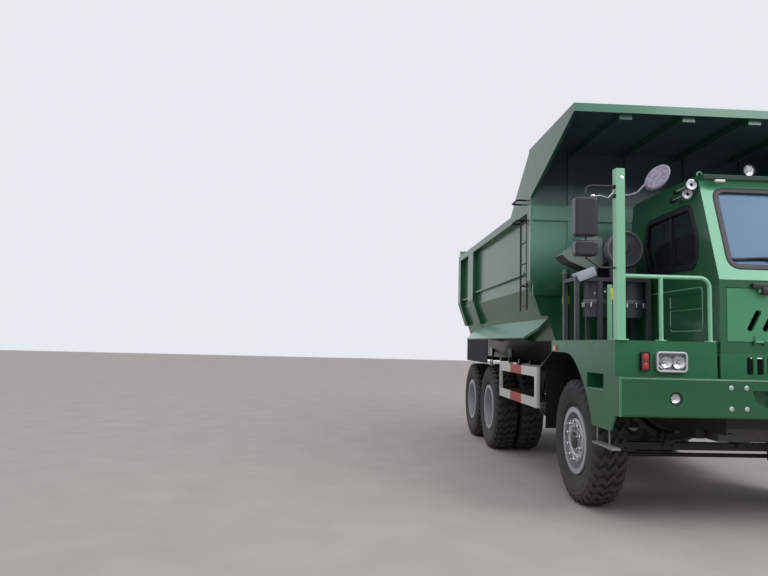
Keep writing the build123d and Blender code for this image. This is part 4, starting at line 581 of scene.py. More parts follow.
green("green_paint")
green("wall_paint", wall_tint)
for name, layers in LAYERS.items():
    green(name, layered(*layers))
finish("post_green", SKY_LIT_GREEN, rough=(0.30, 0.42), spread=0.06, dust=0.05, dust_top=2.2, Coat_Weight=0.5,
       Coat_Roughness=0.1)
finish("lid_green", LID_GREEN, rough=(0.28, 0.38), spread=0.08, dust=0.05, dust_top=2.0,
       grain=(22.0, 0.16, 0.002), Specular_IOR_Level=0.2, Coat_Weight=0.5, Coat_Roughness=0.06)
print("finishes", list(SKINS))

# %% [markdown]
# The deck sheet has a raised tread pattern, so that boots grip it: two sets of short bars at right angles. It
# is a bump and not modelled bars, because they stand up only two millimetres, and it shows only on faces that
# look up. The steps that hang below the deck's skirt are bare grey metal.

# %% Deck plate
TREAD_PITCH = 0.045
BAR_ALONG, BAR_ACROSS = 0.55, 0.36
BAR_HEIGHT, BAR_STRENGTH = 0.002, 0.6
DECK_GREEN = (0.020, 0.135, 0.056)
STEP_LAYER = ((0.21, 0.215, 0.22), dict(z=(None, 0.943)))


def tread_bars(made):
    """Bump over a finish: bars where x and y, turned 45 degrees and folded at the pitch, pass a share."""
    where = made.node_tree
    principled = where.nodes["Principled BSDF"]
    place = where.nodes.new("ShaderNodeTexCoord").outputs["Object"]
    bars = []
    for turn in (math.radians(45), math.radians(-45)):
        turned_place = where.nodes.new("ShaderNodeMapping")
        turned_place.inputs["Rotation"].default_value[2] = turn
        where.links.new(place, turned_place.inputs["Vector"])
        split = where.nodes.new("ShaderNodeSeparateXYZ")
        where.links.new(turned_place.outputs[0], split.inputs[0])
        along = maths(where, "PINGPONG", split.outputs["X"], TREAD_PITCH)
        across = maths(where, "PINGPONG", split.outputs["Y"], TREAD_PITCH / 2)
        bars.append(maths(where, "MULTIPLY", maths(where, "GREATER_THAN", along, TREAD_PITCH * BAR_ALONG),
                          maths(where, "GREATER_THAN", across, TREAD_PITCH * BAR_ACROSS)))
    raised = maths(where, "MULTIPLY", maths(where, "MAXIMUM", *bars), within(where, look_z=(0.8, None)))
    bump = where.nodes.new("ShaderNodeBump")
    bump.inputs["Distance"].default_value = BAR_HEIGHT
    bump.inputs["Strength"].default_value = BAR_STRENGTH
    where.links.new(raised, bump.inputs["Height"])
    where.links.new(principled.inputs["Normal"].links[0].from_socket, bump.inputs["Normal"])
    where.links.new(bump.outputs["Normal"], principled.inputs["Normal"])


tread_bars(green("deck_paint", layered(STEP_LAYER), DECK_GREEN, gloss=0.20))
print("deck plate pitch", TREAD_PITCH)

# %% [markdown]
# The side guards are white with a red middle, set by the place along the truck, and their stays are dark.
# Rubber is nearly black and dull, with pale dust in it. The hidden running gear is cast iron, the rods and
# bolts are bright metal, and the fuel tank is brushed while the air tanks beside it are black. The air
# cleaner's intake hood is grey-green, and darker brown-grey on its faces that look down.

# %% Guard, rubber and metal finishes
WHITE = (0.66, 0.67, 0.66)
RED = (0.46, 0.022, 0.025)
RED_BAND = (0.181, 0.807)
HOOD = dict(y=(None, -1.112), z=(2.606, None))
finish("guard_white", WHITE, rough=(0.34, 0.46), spread=0.04, dust=0.5, dust_top=1.5,
       tint=layered((RED, dict(x=RED_BAND)), (DARK, dict(side=(None, 1.5585))),
                    (DARK, dict(x=(1.5755, None)))))
finish("frame_paint", (0.020, 0.021, 0.024), rough=(0.42, 0.58), spread=0.2, dust=0.12, dust_top=1.4,
       grain=(120.0, 0.2, 0.001), Specular_IOR_Level=0.3)
finish("rim_silver", (0.50, 0.51, 0.54), rough=(0.30, 0.42), spread=0.06, dust=0.35, dust_top=1.1,
       Metallic=0.55)
finish("tyre_rubber", (0.016, 0.016, 0.019), rough=(0.55, 0.75), spread=0.25, dust=0.18, dust_top=1.5,
       grain=(150.0, 0.35, 0.0012), Specular_IOR_Level=0.3)
finish("flap_rubber", (0.010, 0.010, 0.013), rough=(0.5, 0.68), spread=0.2, dust=0.05, dust_top=2.2,
       grain=(90.0, 0.25, 0.001), Specular_IOR_Level=0.08)
finish("seal_rubber", (0.010, 0.009, 0.014), rough=(0.34, 0.5), spread=0.15, Specular_IOR_Level=0.25)
finish("screen_rubber", (0.034, 0.034, 0.046), rough=(0.4, 0.55), spread=0.12, Specular_IOR_Level=0.3)
finish("cast_grey", (0.055, 0.058, 0.062), rough=(0.5, 0.7), spread=0.25, dust=0.3, dust_top=1.8,
       grain=(80.0, 0.4, 0.0015), Metallic=0.3)
finish("hub_iron", (0.055, 0.058, 0.056), rough=(0.45, 0.6), spread=0.25, dust=0.2, dust_top=1.0,
       Metallic=0.5)
finish("bright_metal", (0.62, 0.63, 0.65), rough=(0.16, 0.30), spread=0.05, Metallic=1.0)
finish("tank_steel", (0.42, 0.43, 0.45), rough=(0.22, 0.36), spread=0.08, dust=0.3, dust_top=1.3,
       tint=layered((DARK, dict(y=(None, 0.0)))), Metallic=0.8)
finish("filter_grey", (0.050, 0.060, 0.068), rough=(0.36, 0.5), spread=0.15,
       tint=layered(((0.150, 0.200, 0.180), HOOD), ((0.050, 0.042, 0.040), dict(HOOD, look_z=(None, -0.4)))))
finish("rim_grey", (0.150, 0.155, 0.165), rough=(0.34, 0.46), spread=0.1, Metallic=0.3)
finish("box_grey", (0.48, 0.53, 0.62), rough=(0.3, 0.42), spread=0.05)
print("finishes", len(SKINS))

# %% [markdown]
# The front panes' blue-grey is a painted sky reflection, and the side panes are smoked. The mirrors are black
# outside, and the round look-down mirror inboard of the post has a painted reflection in mottled grey, as its
# curved face shows ground and sky at once. Lamp covers are clear, and side markers outboard of the front
# lamps are orange.

# %% Plastic, cloth and glass finishes
MOULD_GRAIN = (300.0, 0.12, 0.0004)


def mottled_reflection(where):
    """Painted reflection of ground and sky: grey that turns paler by a noise."""
    return mixed(where, ranged(where, noise(where, 38.0, 4.0), 0.35, 0.65), (0.150, 0.135, 0.200),
                 (0.300, 0.280, 0.370))


finish("moulded_black", (0.016, 0.015, 0.020), rough=(0.30, 0.44), spread=0.12, grain=MOULD_GRAIN)
# The look-down mirror inboard of the post gets a painted reflection of ground and sky in mottled grey.
finish("mirror_black", (0.014, 0.013, 0.020), rough=(0.22, 0.34), spread=0.12,
       tint=layered((mottled_reflection, dict(y=(-1.45, 0.0)))), grain=MOULD_GRAIN)
finish("seat_cloth", (0.030, 0.031, 0.036), rough=(0.7, 0.9), spread=0.2, grain=(900.0, 0.5, 0.0008),
       Sheen_Weight=0.4)
finish("bulb_white", (0.80, 0.80, 0.76), rough=(0.08, 0.14), spread=0.02)
# Front panes: the blue-grey is a painted sky reflection; the side panes behind x 3.585 are smoked.
finish("cab_pane", (0.165, 0.320, 0.520), rough=(0.02, 0.04), spread=0.03,
       tint=layered(((0.030, 0.036, 0.040), dict(x=(None, 3.585)))), grain=(3.0, 0.02, 0.0005),
       Transmission_Weight=0.45, IOR=1.25)
finish("lens_clear", (0.93, 0.95, 0.96), rough=(0.01, 0.03), spread=0.01, grain=(60.0, 0.08, 0.0006),
       Transmission_Weight=1.0, IOR=1.45)
finish("mirror_bright", (0.82, 0.84, 0.86), rough=(0.02, 0.05), spread=0.02, Metallic=1.0)
finish("signal_lens", (0.17, 0.005, 0.008), rough=(0.10, 0.18), spread=0.1,
       tint=layered(((0.75, 0.17, 0.02), dict(side=(1.545, None), x=(0.0, None)))),
       grain=(160.0, 0.3, 0.0015), Coat_Weight=0.5)
finish("dome_red", (0.42, 0.016, 0.026), rough=(0.06, 0.12), spread=0.08, grain=(240.0, 0.4, 0.001),
       Coat_Weight=0.6)
finish("tag_yellow", (0.70, 0.66, 0.04), rough=(0.4, 0.5), spread=0.05)
finish("marker_pale", (0.62, 0.68, 0.66), rough=(0.08, 0.16), spread=0.05, grain=(240.0, 0.3, 0.001),
       Coat_Weight=0.5)
print("finishes", len(SKINS))

# %% [markdown]
# Each CAD node takes the finish that is called like its material slot in the record, or the one given here
# for the slot. Nodes whose paint has layers, and a few others such as the deck, the mirrors and the air
# cleaner, have finishes of their own.

# %% Finishes on the CAD nodes
BY_SLOT = {"chrome_rod": "bright_metal", "horn_metal": "bright_metal", "cab_panes": "cab_pane",
           "seat_cloth": "moulded_black", "dash_plastic": "moulded_black", "lamp_lens": "lens_clear"}
BY_NODE = {"decks": "deck_paint", "air_cleaner": "filter_grey", "mirrors": "mirror_black",
           "deck_railing": "post_green", "front_hatch": "lid_green", "driver_seat": "seat_cloth",
           "bed_front_wall": "wall_paint", "bed_canopy": "canopy_paint", "bed_mudguards": "mudguard_paint",
           "cab_front": "front_paint", "cab_roof": "roof_paint", "cab_sides": "side_paint",
           "bumper": "bumper_paint", "bed_floor": "under_paint", "bed_wall_left": "under_paint",
           "bed_wall_right": "under_paint"}
for part in frame["record"]["subparts"]:
    obj, slot = nodes[part["node"]], part["material_slot"]
    skin = SKINS[BY_NODE.get(part["node"], BY_SLOT.get(slot, slot))]
    if not obj.material_slots:
        obj.data.materials.append(skin)
    for held in obj.material_slots:
        held.material = skin

# %% [markdown]
# The floor is a wide pale concrete sheet with a soft mottle, and it isn't part of the truck. It stays flat to
# its far edge, because the world behind it is already pale.

# %% Floor
FLOOR_HALF = 60.0
FLOOR_TOP = -0.001
line = np.linspace(-FLOOR_HALF, FLOOR_HALF, 9)
sheet = np.stack(np.meshgrid(line, line, [FLOOR_TOP], indexing="ij"), -1)[:, :, 0]
mesh = bpy.data.meshes.new("floor")
points, faces = grid(sheet)
mesh.from_pydata(points.tolist(), [], faces[:, ::-1].tolist())
floor = bpy.data.objects.new("floor", mesh)
bpy.context.scene.collection.objects.link(floor)
mesh.materials.append(finish("pale_concrete", (0.42, 0.385, 0.355), rough=(0.7, 0.85), spread=0.06,
                             grain=(30.0, 0.2, 0.002)))
print("floor half width", FLOOR_HALF)

# %% [markdown]
# An earth-mover tyre has deep bars across its tread, bent in a zigzag so that they grip both ways, and they
# run down over the shoulders. The tyre is one closed grid: the rows go round its section, the columns round
# the wheel. Each bar has six columns, and the columns of each row are turned by a zigzag, so the bars' walls
# follow grid lines and stay crisp. A row's depth says how far the gaps between bars are cut in.

# %% Tyres
TYRE_RADIUS = 0.684
LUGS = 34
LUG_SHARES = np.array([0.0, 0.05, 0.30, 0.55, 0.62, 0.80])
LUG_RAISED = np.array([0, 1, 1, 1, 0, 0])
TYRE_HALF = [  # half width, radius, depth of the gaps, turn of the bars in lug steps, from crown to bead
    (0.000, 0.684, 0.034, 0.00), (0.028, 0.684, 0.034, 0.30), (0.032, 0.684, 0.034, 0.34),
    (0.070, 0.683, 0.034, -0.02), (0.074, 0.683, 0.034, -0.04), (0.118, 0.679, 0.034, 0.34),
    (0.122, 0.679, 0.034, 0.36), (0.150, 0.673, 0.034, 0.12), (0.162, 0.660, 0.030, 0.06),
    (0.171, 0.640, 0.022, 0.03), (0.178, 0.612, 0.012, 0), (0.181, 0.598, 0, 0), (0.184, 0.594, 0, 0),
    (0.186, 0.588, 0, 0), (0.1845, 0.582, 0, 0), (0.1872, 0.545, 0, 0), (0.1870, 0.505, 0, 0),
    (0.181, 0.465, 0, 0), (0.173, 0.432, 0, 0), (0.1735, 0.427, 0, 0), (0.168, 0.421, 0, 0),
    (0.158, 0.400, 0, 0), (0.148, 0.380, 0, 0), (0.145, 0.368, 0, 0), (0.145, 0.345, 0, 0),
    (0.138, 0.3315, 0, 0)]


def tyre(x, y):
    """Closed ring of rows round the section: x = r cos t, z = r sin t, r cut by depth between the bars."""
    half = np.array(TYRE_HALF)
    other = half[:0:-1] * (-1, 1, 1, -1)
    across, radius, depth, shift = np.concatenate([other, half]).T
    shares = (np.arange(LUGS)[:, None] + LUG_SHARES).ravel()
    raised = np.tile(LUG_RAISED, LUGS)
    t = (shares[None] + shift[:, None]) * 2 * np.pi / LUGS
    r = radius[:, None] - depth[:, None] * (1 - raised[None])
    points = np.stack([x + r * np.cos(t), np.broadcast_to(y + across[:, None], t.shape),
                       TYRE_RADIUS + r * np.sin(t)], -1)
    return grid(points, wrap_rows=True, wrap_columns=True)


AXLE_X = {"front": 2.625, "mid": -1.175, "rear": -2.675}
FRONT_Y = (1.310,)
TWIN_Y = (1.460, 1.040)
for side, sign in (("left", 1), ("right", -1)):
    for place, spread in (("front", FRONT_Y), ("mid", TWIN_Y), ("rear", TWIN_Y)):
        node = f"tyre{'' if place == 'front' else 's'}_{place}_{side}"
        rings = joined([tyre(AXLE_X[place], sign * y) for y in spread])
        rubber = piece(f"tread_{place}_{side}", rings, "tyre_rubber", f"wheel_{place}_{side}", crease=38)
        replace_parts(rubber, node)

# %% [markdown]
# The front wheels have a raised flange on the disc with ten long studs and hexagon nuts, and a stepped cap on
# the hub with a ring of small bolts. The rear wheels have the same nuts deep in the dish, and every rim has a
# lock ring that holds the tyre's bead. One nut is turned once and copied round, because on a wheel they are
# all alike. Each wheel's trim is made at the left, about its axle, and mirrored for the right.

# %% Wheel nuts and hub caps
STUDS = 10
NUT = [(0.0, 0.0), (0.0, 0.024), (0.004, 0.024), (0.004, 0.021), (0.024, 0.021), (0.030, 0.016), (0.030, 0.0)]
STUD = [(0.0, 0.0), (0.0, 0.011), (0.056, 0.011), (0.060, 0.008), (0.060, 0.0)]
SMALL_BOLT = [(0.0, 0.0), (0.0, 0.009), (0.006, 0.009), (0.008, 0.006), (0.008, 0.0)]
CAP = [(0.0, 0.088), (0.0, 0.092), (0.004, 0.095), (0.010, 0.095), (0.013, 0.090), (0.013, 0.074),
       (0.020, 0.070), (0.026, 0.056), (0.026, 0.0)]
HUB_FLANGE = [(0.0, 0.150), (0.046, 0.152), (0.054, 0.160), (0.056, 0.168), (0.056, 0.232), (0.050, 0.239),
              (0.0, 0.246)]
LOCK_RING = [(0.0, 0.334), (0.0, 0.352), (0.003, 0.361), (0.010, 0.3655), (0.017, 0.362), (0.019, 0.352),
             (0.014, 0.343), (0.014, 0.334)]
RING_STEPS = 72


def round_ring(shape, radius, count, face):
    """Copies on a circle in the wheel's plane, (r cos t, r sin t), on a face at y, half a step from level."""
    t = (np.arange(count) + 0.5) * 2 * np.pi / count
    return copies(shape, np.stack([radius * np.cos(t), np.full(count, face), radius * np.sin(t)], -1))


fixing = joined([turned(NUT, 6), turned(STUD, 10)])
small_bolt = turned(SMALL_BOLT, 6)
hub_cap = joined([turned(CAP, RING_STEPS, spots=(0, 1.4705, 0)), round_ring(small_bolt, 0.082, 8, 1.4835)])
FRONT_TRIM = [("nuts", round_ring(fixing, 0.208, STUDS, 1.464), "bright_metal"),
              ("flange", turned(HUB_FLANGE, RING_STEPS, spots=(0, 1.409, 0)), "rim_silver"),
              ("hub_cap", hub_cap, "hub_iron"),
              ("lock_ring", turned(LOCK_RING, RING_STEPS, spots=(0, 1.4575, 0)), "rim_silver")]
TWIN_TRIM = [("nuts", round_ring(fixing, 0.190, STUDS, 1.269), "bright_metal"),
             ("hub_bolts", round_ring(small_bolt, 0.085, 10, 1.4440), "hub_iron"),
             ("lock_ring", turned(LOCK_RING, RING_STEPS, spots=(0, 1.6075, 0)), "rim_silver")]
for side in ("left", "right"):
    for axle, trim in (("front", FRONT_TRIM), ("mid", TWIN_TRIM), ("rear", TWIN_TRIM)):
        for label, shape, skin in trim:
            shape = copies(shape, (AXLE_X[axle], 0, TYRE_RADIUS))
            piece(f"{axle}_{label}_{side}", shape if side == "left" else mirrored(shape), skin,
                  f"wheel_{axle}_{side}")

# %% [markdown]
# The panes sit in thick rubber. Each seal runs round its window's edge with rounded corners: half of the
# strip lies on the sheet outside, and half reaches in to the glass. The windscreen's is grey.

# %% Window seals
BELT_X, RAKE = 3.945, 0.330
SCREEN_NORMAL = (1.0, 0.0, RAKE)


def on_screen(y, z, out=0.0):
    """Point on the windscreen's outer plane: x = belt x less rake times height over the belt, plus out."""
    return BELT_X - RAKE * (z - BELT_Z) + out, y, z


def frame_of(first, second, place):
    """Four corners of an upright rectangle; place puts (across, height) into the truck's frame."""
    (a0, z0), (a1, z1) = first, second
    return [place(a0, z0), place(a1, z0), place(a1, z1), place(a0, z1)]


RIGHT_WINDOW = [(2.466, 3.194), (3.430, 3.207), (3.560, 2.860), (3.560, 2.671), (3.494, 2.571),
                (2.510, 2.595), (2.405, 2.904)]
CAB_SIDE = -0.535
SEALS = [  # name, corners, corner radius, outward, strip width, body, finish
    ("screen_seal", frame_of((-0.395, 2.53), (1.340, 3.34), on_screen), 0.11, SCREEN_NORMAL, 0.056,
     "chassis", "screen_rubber"),
    ("right_window_seal", [(x, CAB_SIDE, z) for x, z in RIGHT_WINDOW], 0.105, (0, -1, 0), 0.066,
     "chassis", "seal_rubber"),
    ("rear_window_seal", frame_of((-0.185, 2.55), (1.130, 3.10), lambda y, z: (2.030, y, z)), 0.07,
     (-1, 0, 0), 0.044, "chassis", "seal_rubber"),
    ("door_window_seal", frame_of((2.530, 2.48), (3.330, 3.21), lambda x, z: (x, 1.480, z)), 0.07,
     (0, 1, 0), 0.044, "door", "seal_rubber")]
for name, corners, corner, outward, width, body, skin in SEALS:
    line = bent(corners, corner, closed=True)
    piece(name, swept(line, strip(width, -0.020, 0.009), outward, closed=True), skin, body, crease=50)

# %% [markdown]
# A wiper rests on the lower edge of each half of the windscreen. Its blade and the sprung holder are shallow
# bows: the height falls with the square of the distance from the middle. Both wipers are one shape, copied
# to the second place.

# %% Wipers
PIVOT = [(0, 0), (0, 0.026), (0.014, 0.024), (0.022, 0.014), (0.024, 0)]


def wiper():
    """Rubber blade on the lower edge of the pane, its sprung holder, the arm and the pivot's cap."""
    edge = [on_screen(y, 2.604 + 0.012 * (1 - (y / 0.35) ** 2), -0.012) for y in np.linspace(-0.35, 0.31, 9)]
    spine = [on_screen(y, 2.614 + 0.010 * (1 - (y / 0.2) ** 2), 0.002) for y in np.linspace(-0.2, 0.18, 7)]
    reach = bent([on_screen(0.0, 2.624, 0.010), on_screen(0.22, 2.560, 0.022), on_screen(0.36, 2.480, 0.014)],
                 0.05)
    parts = [(edge, strip(0.024, -0.012, 0.014)), (spine, strip(0.016, -0.004, 0.012)),
             (reach, strip(0.020, -0.004, 0.006))]
    bars = [swept(path, section, SCREEN_NORMAL) for path, section in parts]
    return joined(bars + [turned(PIVOT, 20, "x", on_screen(0.36, 2.480))])


piece("wipers", copies(wiper(), [(0, 0, 0), (0, 0.76, 0)]), "seal_rubber")

# %% [markdown]
# A lamp is a bowl that throws the light forward, a bulb in its middle and a clear cover. The headlamps hold
# two bowls side by side in a silver frame with rounded corners. The fog lamps sit in the bumper's round
# holes, and the work lamp stands on the roof on a short stalk. They are modelled and not painted on, because
# the light in a bowl changes with the view.

# %% Lamps
BOWL = [(0.001, 0.0), (0.001, 0.012), (0.006, 0.034), (0.014, 0.054), (0.024, 0.068), (0.026, 0.070),
        (0.020, 0.070), (0.008, 0.052), (0.0, 0.030), (0.0, 0.0)]
BULB = [(0.000, 0.0), (0.000, 0.012), (0.010, 0.013), (0.016, 0.010), (0.019, 0.005), (0.020, 0.0)]
FOG_RING = [(0.0, 0.047), (0.0, 0.060), (0.022, 0.060), (0.025, 0.057), (0.025, 0.050), (0.018, 0.045)]
FOG_COVER = [(0.0, 0.0), (0.0, 0.046), (0.003, 0.045), (0.006, 0.030), (0.007, 0.0)]
ROOF_SHELL = [(0.0, 0.0), (0.002, 0.026), (0.014, 0.048), (0.034, 0.061), (0.066, 0.064), (0.074, 0.063),
              (0.075, 0.059), (0.070, 0.056), (0.060, 0.054), (0.040, 0.050), (0.020, 0.0)]
ROOF_COVER = [(0.0, 0.0), (0.0, 0.055), (0.004, 0.040), (0.006, 0.0)]
LAMP_Y, LAMP_Z, LAMP_FACE = 1.020, 1.606, 3.945
BOWL_SPOTS = [(LAMP_FACE + 0.004, LAMP_Y + shift, LAMP_Z) for shift in (-0.068, 0.068)]
FOG_SPOT, FOG_SIZE = np.array((4.036, 1.030, 1.274)), 0.62
ROOF_SPOT, ROOF_SIZE = np.array((3.440, 0.060, 3.588)), 0.78


def lamp_frame(first, second, corner, section):
    """A soft strip round an upright rectangle on the lamps' face, on both sides of the truck."""
    line = bent(frame_of(first, second, lambda y, z: (LAMP_FACE, y, z)), corner, closed=True)
    return both(swept(line, section, (1, 0, 0), closed=True))


bowl, bulb = turned(BOWL, 40, "x"), turned(BULB, 16, "x")
bezels = lamp_frame((0.880, 1.519), (1.160, 1.693), 0.034, strip(0.020, 0.0, 0.037))
backs = both(soft_box((LAMP_FACE + 0.003, LAMP_Y, LAMP_Z), (0.004, 0.134, 0.080), 0.004))
panes = [both(soft_box((LAMP_FACE + 0.031, LAMP_Y, LAMP_Z), (0.003, 0.134, 0.081), 0.003)),
         both(turned(FOG_COVER, 40, "x", FOG_SPOT + (0.018, 0, 0))),
         turned(ROOF_COVER, 40, "x", ROOF_SPOT + (0.069, 0, 0))]
stalk = pipe([(3.485, 0.060, 3.497), (3.485, 0.060, 3.540)], 0.012, 0.01, (1, 0, 0))
LAMP_PIECES = [
    ("headlamp_frames", [bezels], "rim_silver", 35),
    ("headlamp_backs", [backs], "rim_grey", 35),
    ("lamp_bowls", [both(copies(bowl, BOWL_SPOTS)), both(copies(sized(bowl, FOG_SIZE), FOG_SPOT)),
                    copies(sized(bowl, ROOF_SIZE), ROOF_SPOT + (0.044, 0, 0))], "bright_metal", 50),
    ("lamp_bulbs", [both(copies(bulb, BOWL_SPOTS)), both(copies(sized(bulb, FOG_SIZE), FOG_SPOT)),
                    copies(bulb, ROOF_SPOT + (0.046, 0, 0))], "bulb_white", 50),
    ("lamp_covers", panes, "lens_clear", 50),
    ("lamp_housings", [both(turned(FOG_RING, 40, "x", FOG_SPOT)), turned(ROOF_SHELL, 40, "x", ROOF_SPOT),
                       stalk], "moulded_black", 40)]
for name, shapes, skin, crease in LAMP_PIECES:
    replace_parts(piece(name, joined(shapes), skin, crease=crease), "headlamps")

# %% [markdown]
# A signal lamp stands outboard of each headlamp. Its lens has two red domes one above the other, and a thin
# rubber frame with soft corners holds it.

# %% Signal lamps
DOME = [(0.0, 0.0), (0.0, 0.029), (0.003, 0.028), (0.006, 0.018), (0.007, 0.0)]
DOME_SPOTS = [(3.975, 1.2725, z) for z in (1.566, 1.647)]
signal_frames = lamp_frame((1.235, 1.524), (1.310, 1.689), 0.010, strip(0.012, 0.0, 0.033))
piece("signal_domes", both(turned(DOME, 28, "x", DOME_SPOTS)), "dome_red")
piece("signal_frames", signal_frames, "seal_rubber")

# %% [markdown]
# The bumper is held by four big bolts on each side of its middle, and each has a washer. The mirror post has
# one bolt near its top. The rail and the post stand on small flanges that are bolted to the deck. A black
# lever locks the front lid, and it swings down with it.

# %% Bolts, flanges and the lid's lever
WASHER = [(0.0, 0.0), (0.0, 0.022), (0.0025, 0.022), (0.003, 0.020), (0.003, 0.0)]
HEAD = [(0.0, 0.0), (0.0, 0.0150), (0.0080, 0.0150), (0.0100, 0.0125), (0.0100, 0.0)]
FLANGE = [(0.0, 0.0), (0.0, 0.046), (0.007, 0.046), (0.009, 0.043), (0.009, 0.024), (0.018, 0.021),
          (0.018, 0.0)]
BUMPER_BOLTS = [(4.0635, y, z) for y in (-0.510, -0.365, 0.365, 0.510) for z in (1.192, 1.385)]
RAIL_FEET = [(3.905, -0.610, 1.800), (3.905, -1.087, 1.800)]
FOOT_BOLTS = [(x, y, 0.008) for x in (-0.034, 0.034) for y in (-0.034, 0.034)]
foot_bolts = [np.add(foot, offset) for foot in RAIL_FEET for offset in FOOT_BOLTS]
bolt = joined([turned(WASHER, 24), turned(HEAD, 6)])
piece("bumper_bolts", copies(aimed(bolt, "x"), BUMPER_BOLTS), "bright_metal")
piece("post_bolt", copies(aimed(bolt, "x"), (3.9425, -1.478, 3.345)), "bright_metal")
piece("rail_flanges", joined([turned(FLANGE, 28, "z", RAIL_FEET),
                              soft_box((3.900, -1.487, 1.805), (0.072, 0.060, 0.006), 0.005)]), "post_green")
piece("flange_bolts", copies(aimed(sized(bolt, 0.42), "z"), foot_bolts), "bright_metal")
lever = joined([soft_box((3.966, -0.095, 2.342), (0.018, 0.130, 0.030), 0.012),
                soft_box((3.975, -0.100, 2.296), (0.024, 0.040, 0.034), 0.012)])
piece("lid_lever", lever, "moulded_black", "hatch")

# %% [markdown]
# Each mirror head holds a flat main glass above a wide curved one, and both look back. A chrome bracket runs
# from the right head to the post, where two black clamps with nuts hold the arms.

# %% Mirrors
HEAD_PLACES = [(3.838, -1.810), (3.478, 1.810)]
GLASSES = [(2.966, 0.172), (2.6615, 0.058)]
GLASS_BULGE = 0.003
CLAMP_HEIGHTS = (3.263, 3.174)
ZIGZAG = [(-1.728, 3.172), (-1.655, 3.176), (-1.590, 3.156), (-1.545, 3.206), (-1.528, 3.232)]
CLAMP_BALL = [(-0.020, 0.0), (-0.018, 0.012), (-0.008, 0.019), (0.008, 0.019), (0.018, 0.012), (0.020, 0.0)]


def glass(half_height):
    """Slightly domed plate: the ball pushed out to a thin box, x moved back by the square of y and z."""
    points, faces = soft_box((0, 0, 0), (0.003, 0.096, half_height), 0.003, steps=8)
    y, z = points[:, 1] / 0.096, points[:, 2] / half_height
    return points - np.stack([GLASS_BULGE * (2 - y ** 2 - z ** 2) / 2, 0 * y, 0 * z], -1), faces


glasses = joined([copies(glass(half), (x, y, z)) for x, y in HEAD_PLACES for z, half in GLASSES])
piece("mirror_glasses", glasses, "mirror_bright")
bracket = pipe([(3.9, y, z) for y, z in ZIGZAG], 0.0055, 0.012, (1, 0, 0), 10)
piece("mirror_bracket", joined([bracket, turned(CLAMP_BALL, 20, spots=(3.9, -1.738, 3.170))]), "bright_metal")
clamps = [soft_box((3.905, -1.538, z), (0.026, 0.011, 0.017), 0.005) for z in CLAMP_HEIGHTS]
piece("post_clamps", joined(clamps), "seal_rubber")
nut_spots = [(3.915, -1.444, z + shift) for z in CLAMP_HEIGHTS for shift in (-0.012, 0.012)]
piece("clamp_nuts", copies(sized(bolt, 0.6), nut_spots), "bright_metal")

# %% [markdown]
# The air cleaner's cap has a rolled rim, and two bands clamp its drum. A rubber elbow takes the clean air
# down to the engine. It is a pipe with folds round it, because a folded hose can bend as the engine shakes.

# %% Air cleaner
DRUM = (2.725, -0.915, 2.856)
RIM = [(-0.060, 0.198), (-0.060, 0.207), (-0.054, 0.210), (-0.006, 0.210), (0.002, 0.206), (0.005, 0.198),
       (0.003, 0.189), (-0.006, 0.185), (-0.012, 0.190), (-0.012, 0.198)]
BAND = [(-0.016, 0.191), (-0.016, 0.1975), (-0.012, 0.1985), (0.012, 0.1985), (0.016, 0.1975), (0.016, 0.191)]
ELBOW = [(2.172, -0.915, 2.856), (2.030, -0.915, 2.856), (2.030, -0.915, 2.300), (2.100, -0.800, 1.800)]
FOLD = [(-0.009, 0.084), (-0.006, 0.092), (0.006, 0.092), (0.009, 0.084)]
FOLD_SPOTS = [(2.030, -0.915, 2.46 + 0.045 * i) for i in range(6)]
piece("cleaner_rim", turned(RIM, 72, "x", DRUM), "rim_grey")
piece("cleaner_bands", turned(BAND, 72, "x", [(x, *DRUM[1:]) for x in (2.200, 2.600)]), "bright_metal")
hose = [pipe(ELBOW, 0.085, 0.11, (0, 1, 0), 28), turned(FOLD, 32, "z", FOLD_SPOTS)]
piece("cleaner_elbow", joined(hose), "seal_rubber")

# %% [markdown]
# The canisters below the air cleaner have a raised collar with spring clips round it, which hold the lid
# down. One clip is made in front and turned to each of its places. A grey switch box sits at a slant on the
# stand's corner, so it is built level about the origin, then tilted and shifted.

# %% Canisters and switch box
CAN_SPOTS = [(2.465, -1.165, 2.0), (2.465, -0.740, 2.0)]
COLLAR = [(0.228, 0.136), (0.228, 0.147), (0.234, 0.149), (0.272, 0.149), (0.278, 0.147), (0.278, 0.136)]
CLIP_RADIUS, CLIP_Z = 0.148, 0.215
PLUG = [(0.0, 0.0), (0.0, 0.014), (0.014, 0.012), (0.018, 0.0)]
PLUG_PLACES = ((-0.060, 2.345), (-0.022, 2.365), (0.018, 2.345), (0.056, 2.365))
PLUG_SPOTS = [(2.598, -1.165 + y, z) for y, z in PLUG_PLACES]
SCREW = [(0.0, 0.0), (0.0, 0.012), (0.006, 0.010), (0.007, 0.0)]
BOX_TILT, BOX_SPOT = math.radians(21), (2.612, -1.352, 2.556)


def rotated(shape, angle, axis, spot):
    """The shape turned about an axis through the origin, then shifted to a spot."""
    return shape[0] @ np.array(Matrix.Rotation(angle, 3, axis)).T + np.asarray(spot), shape[1]


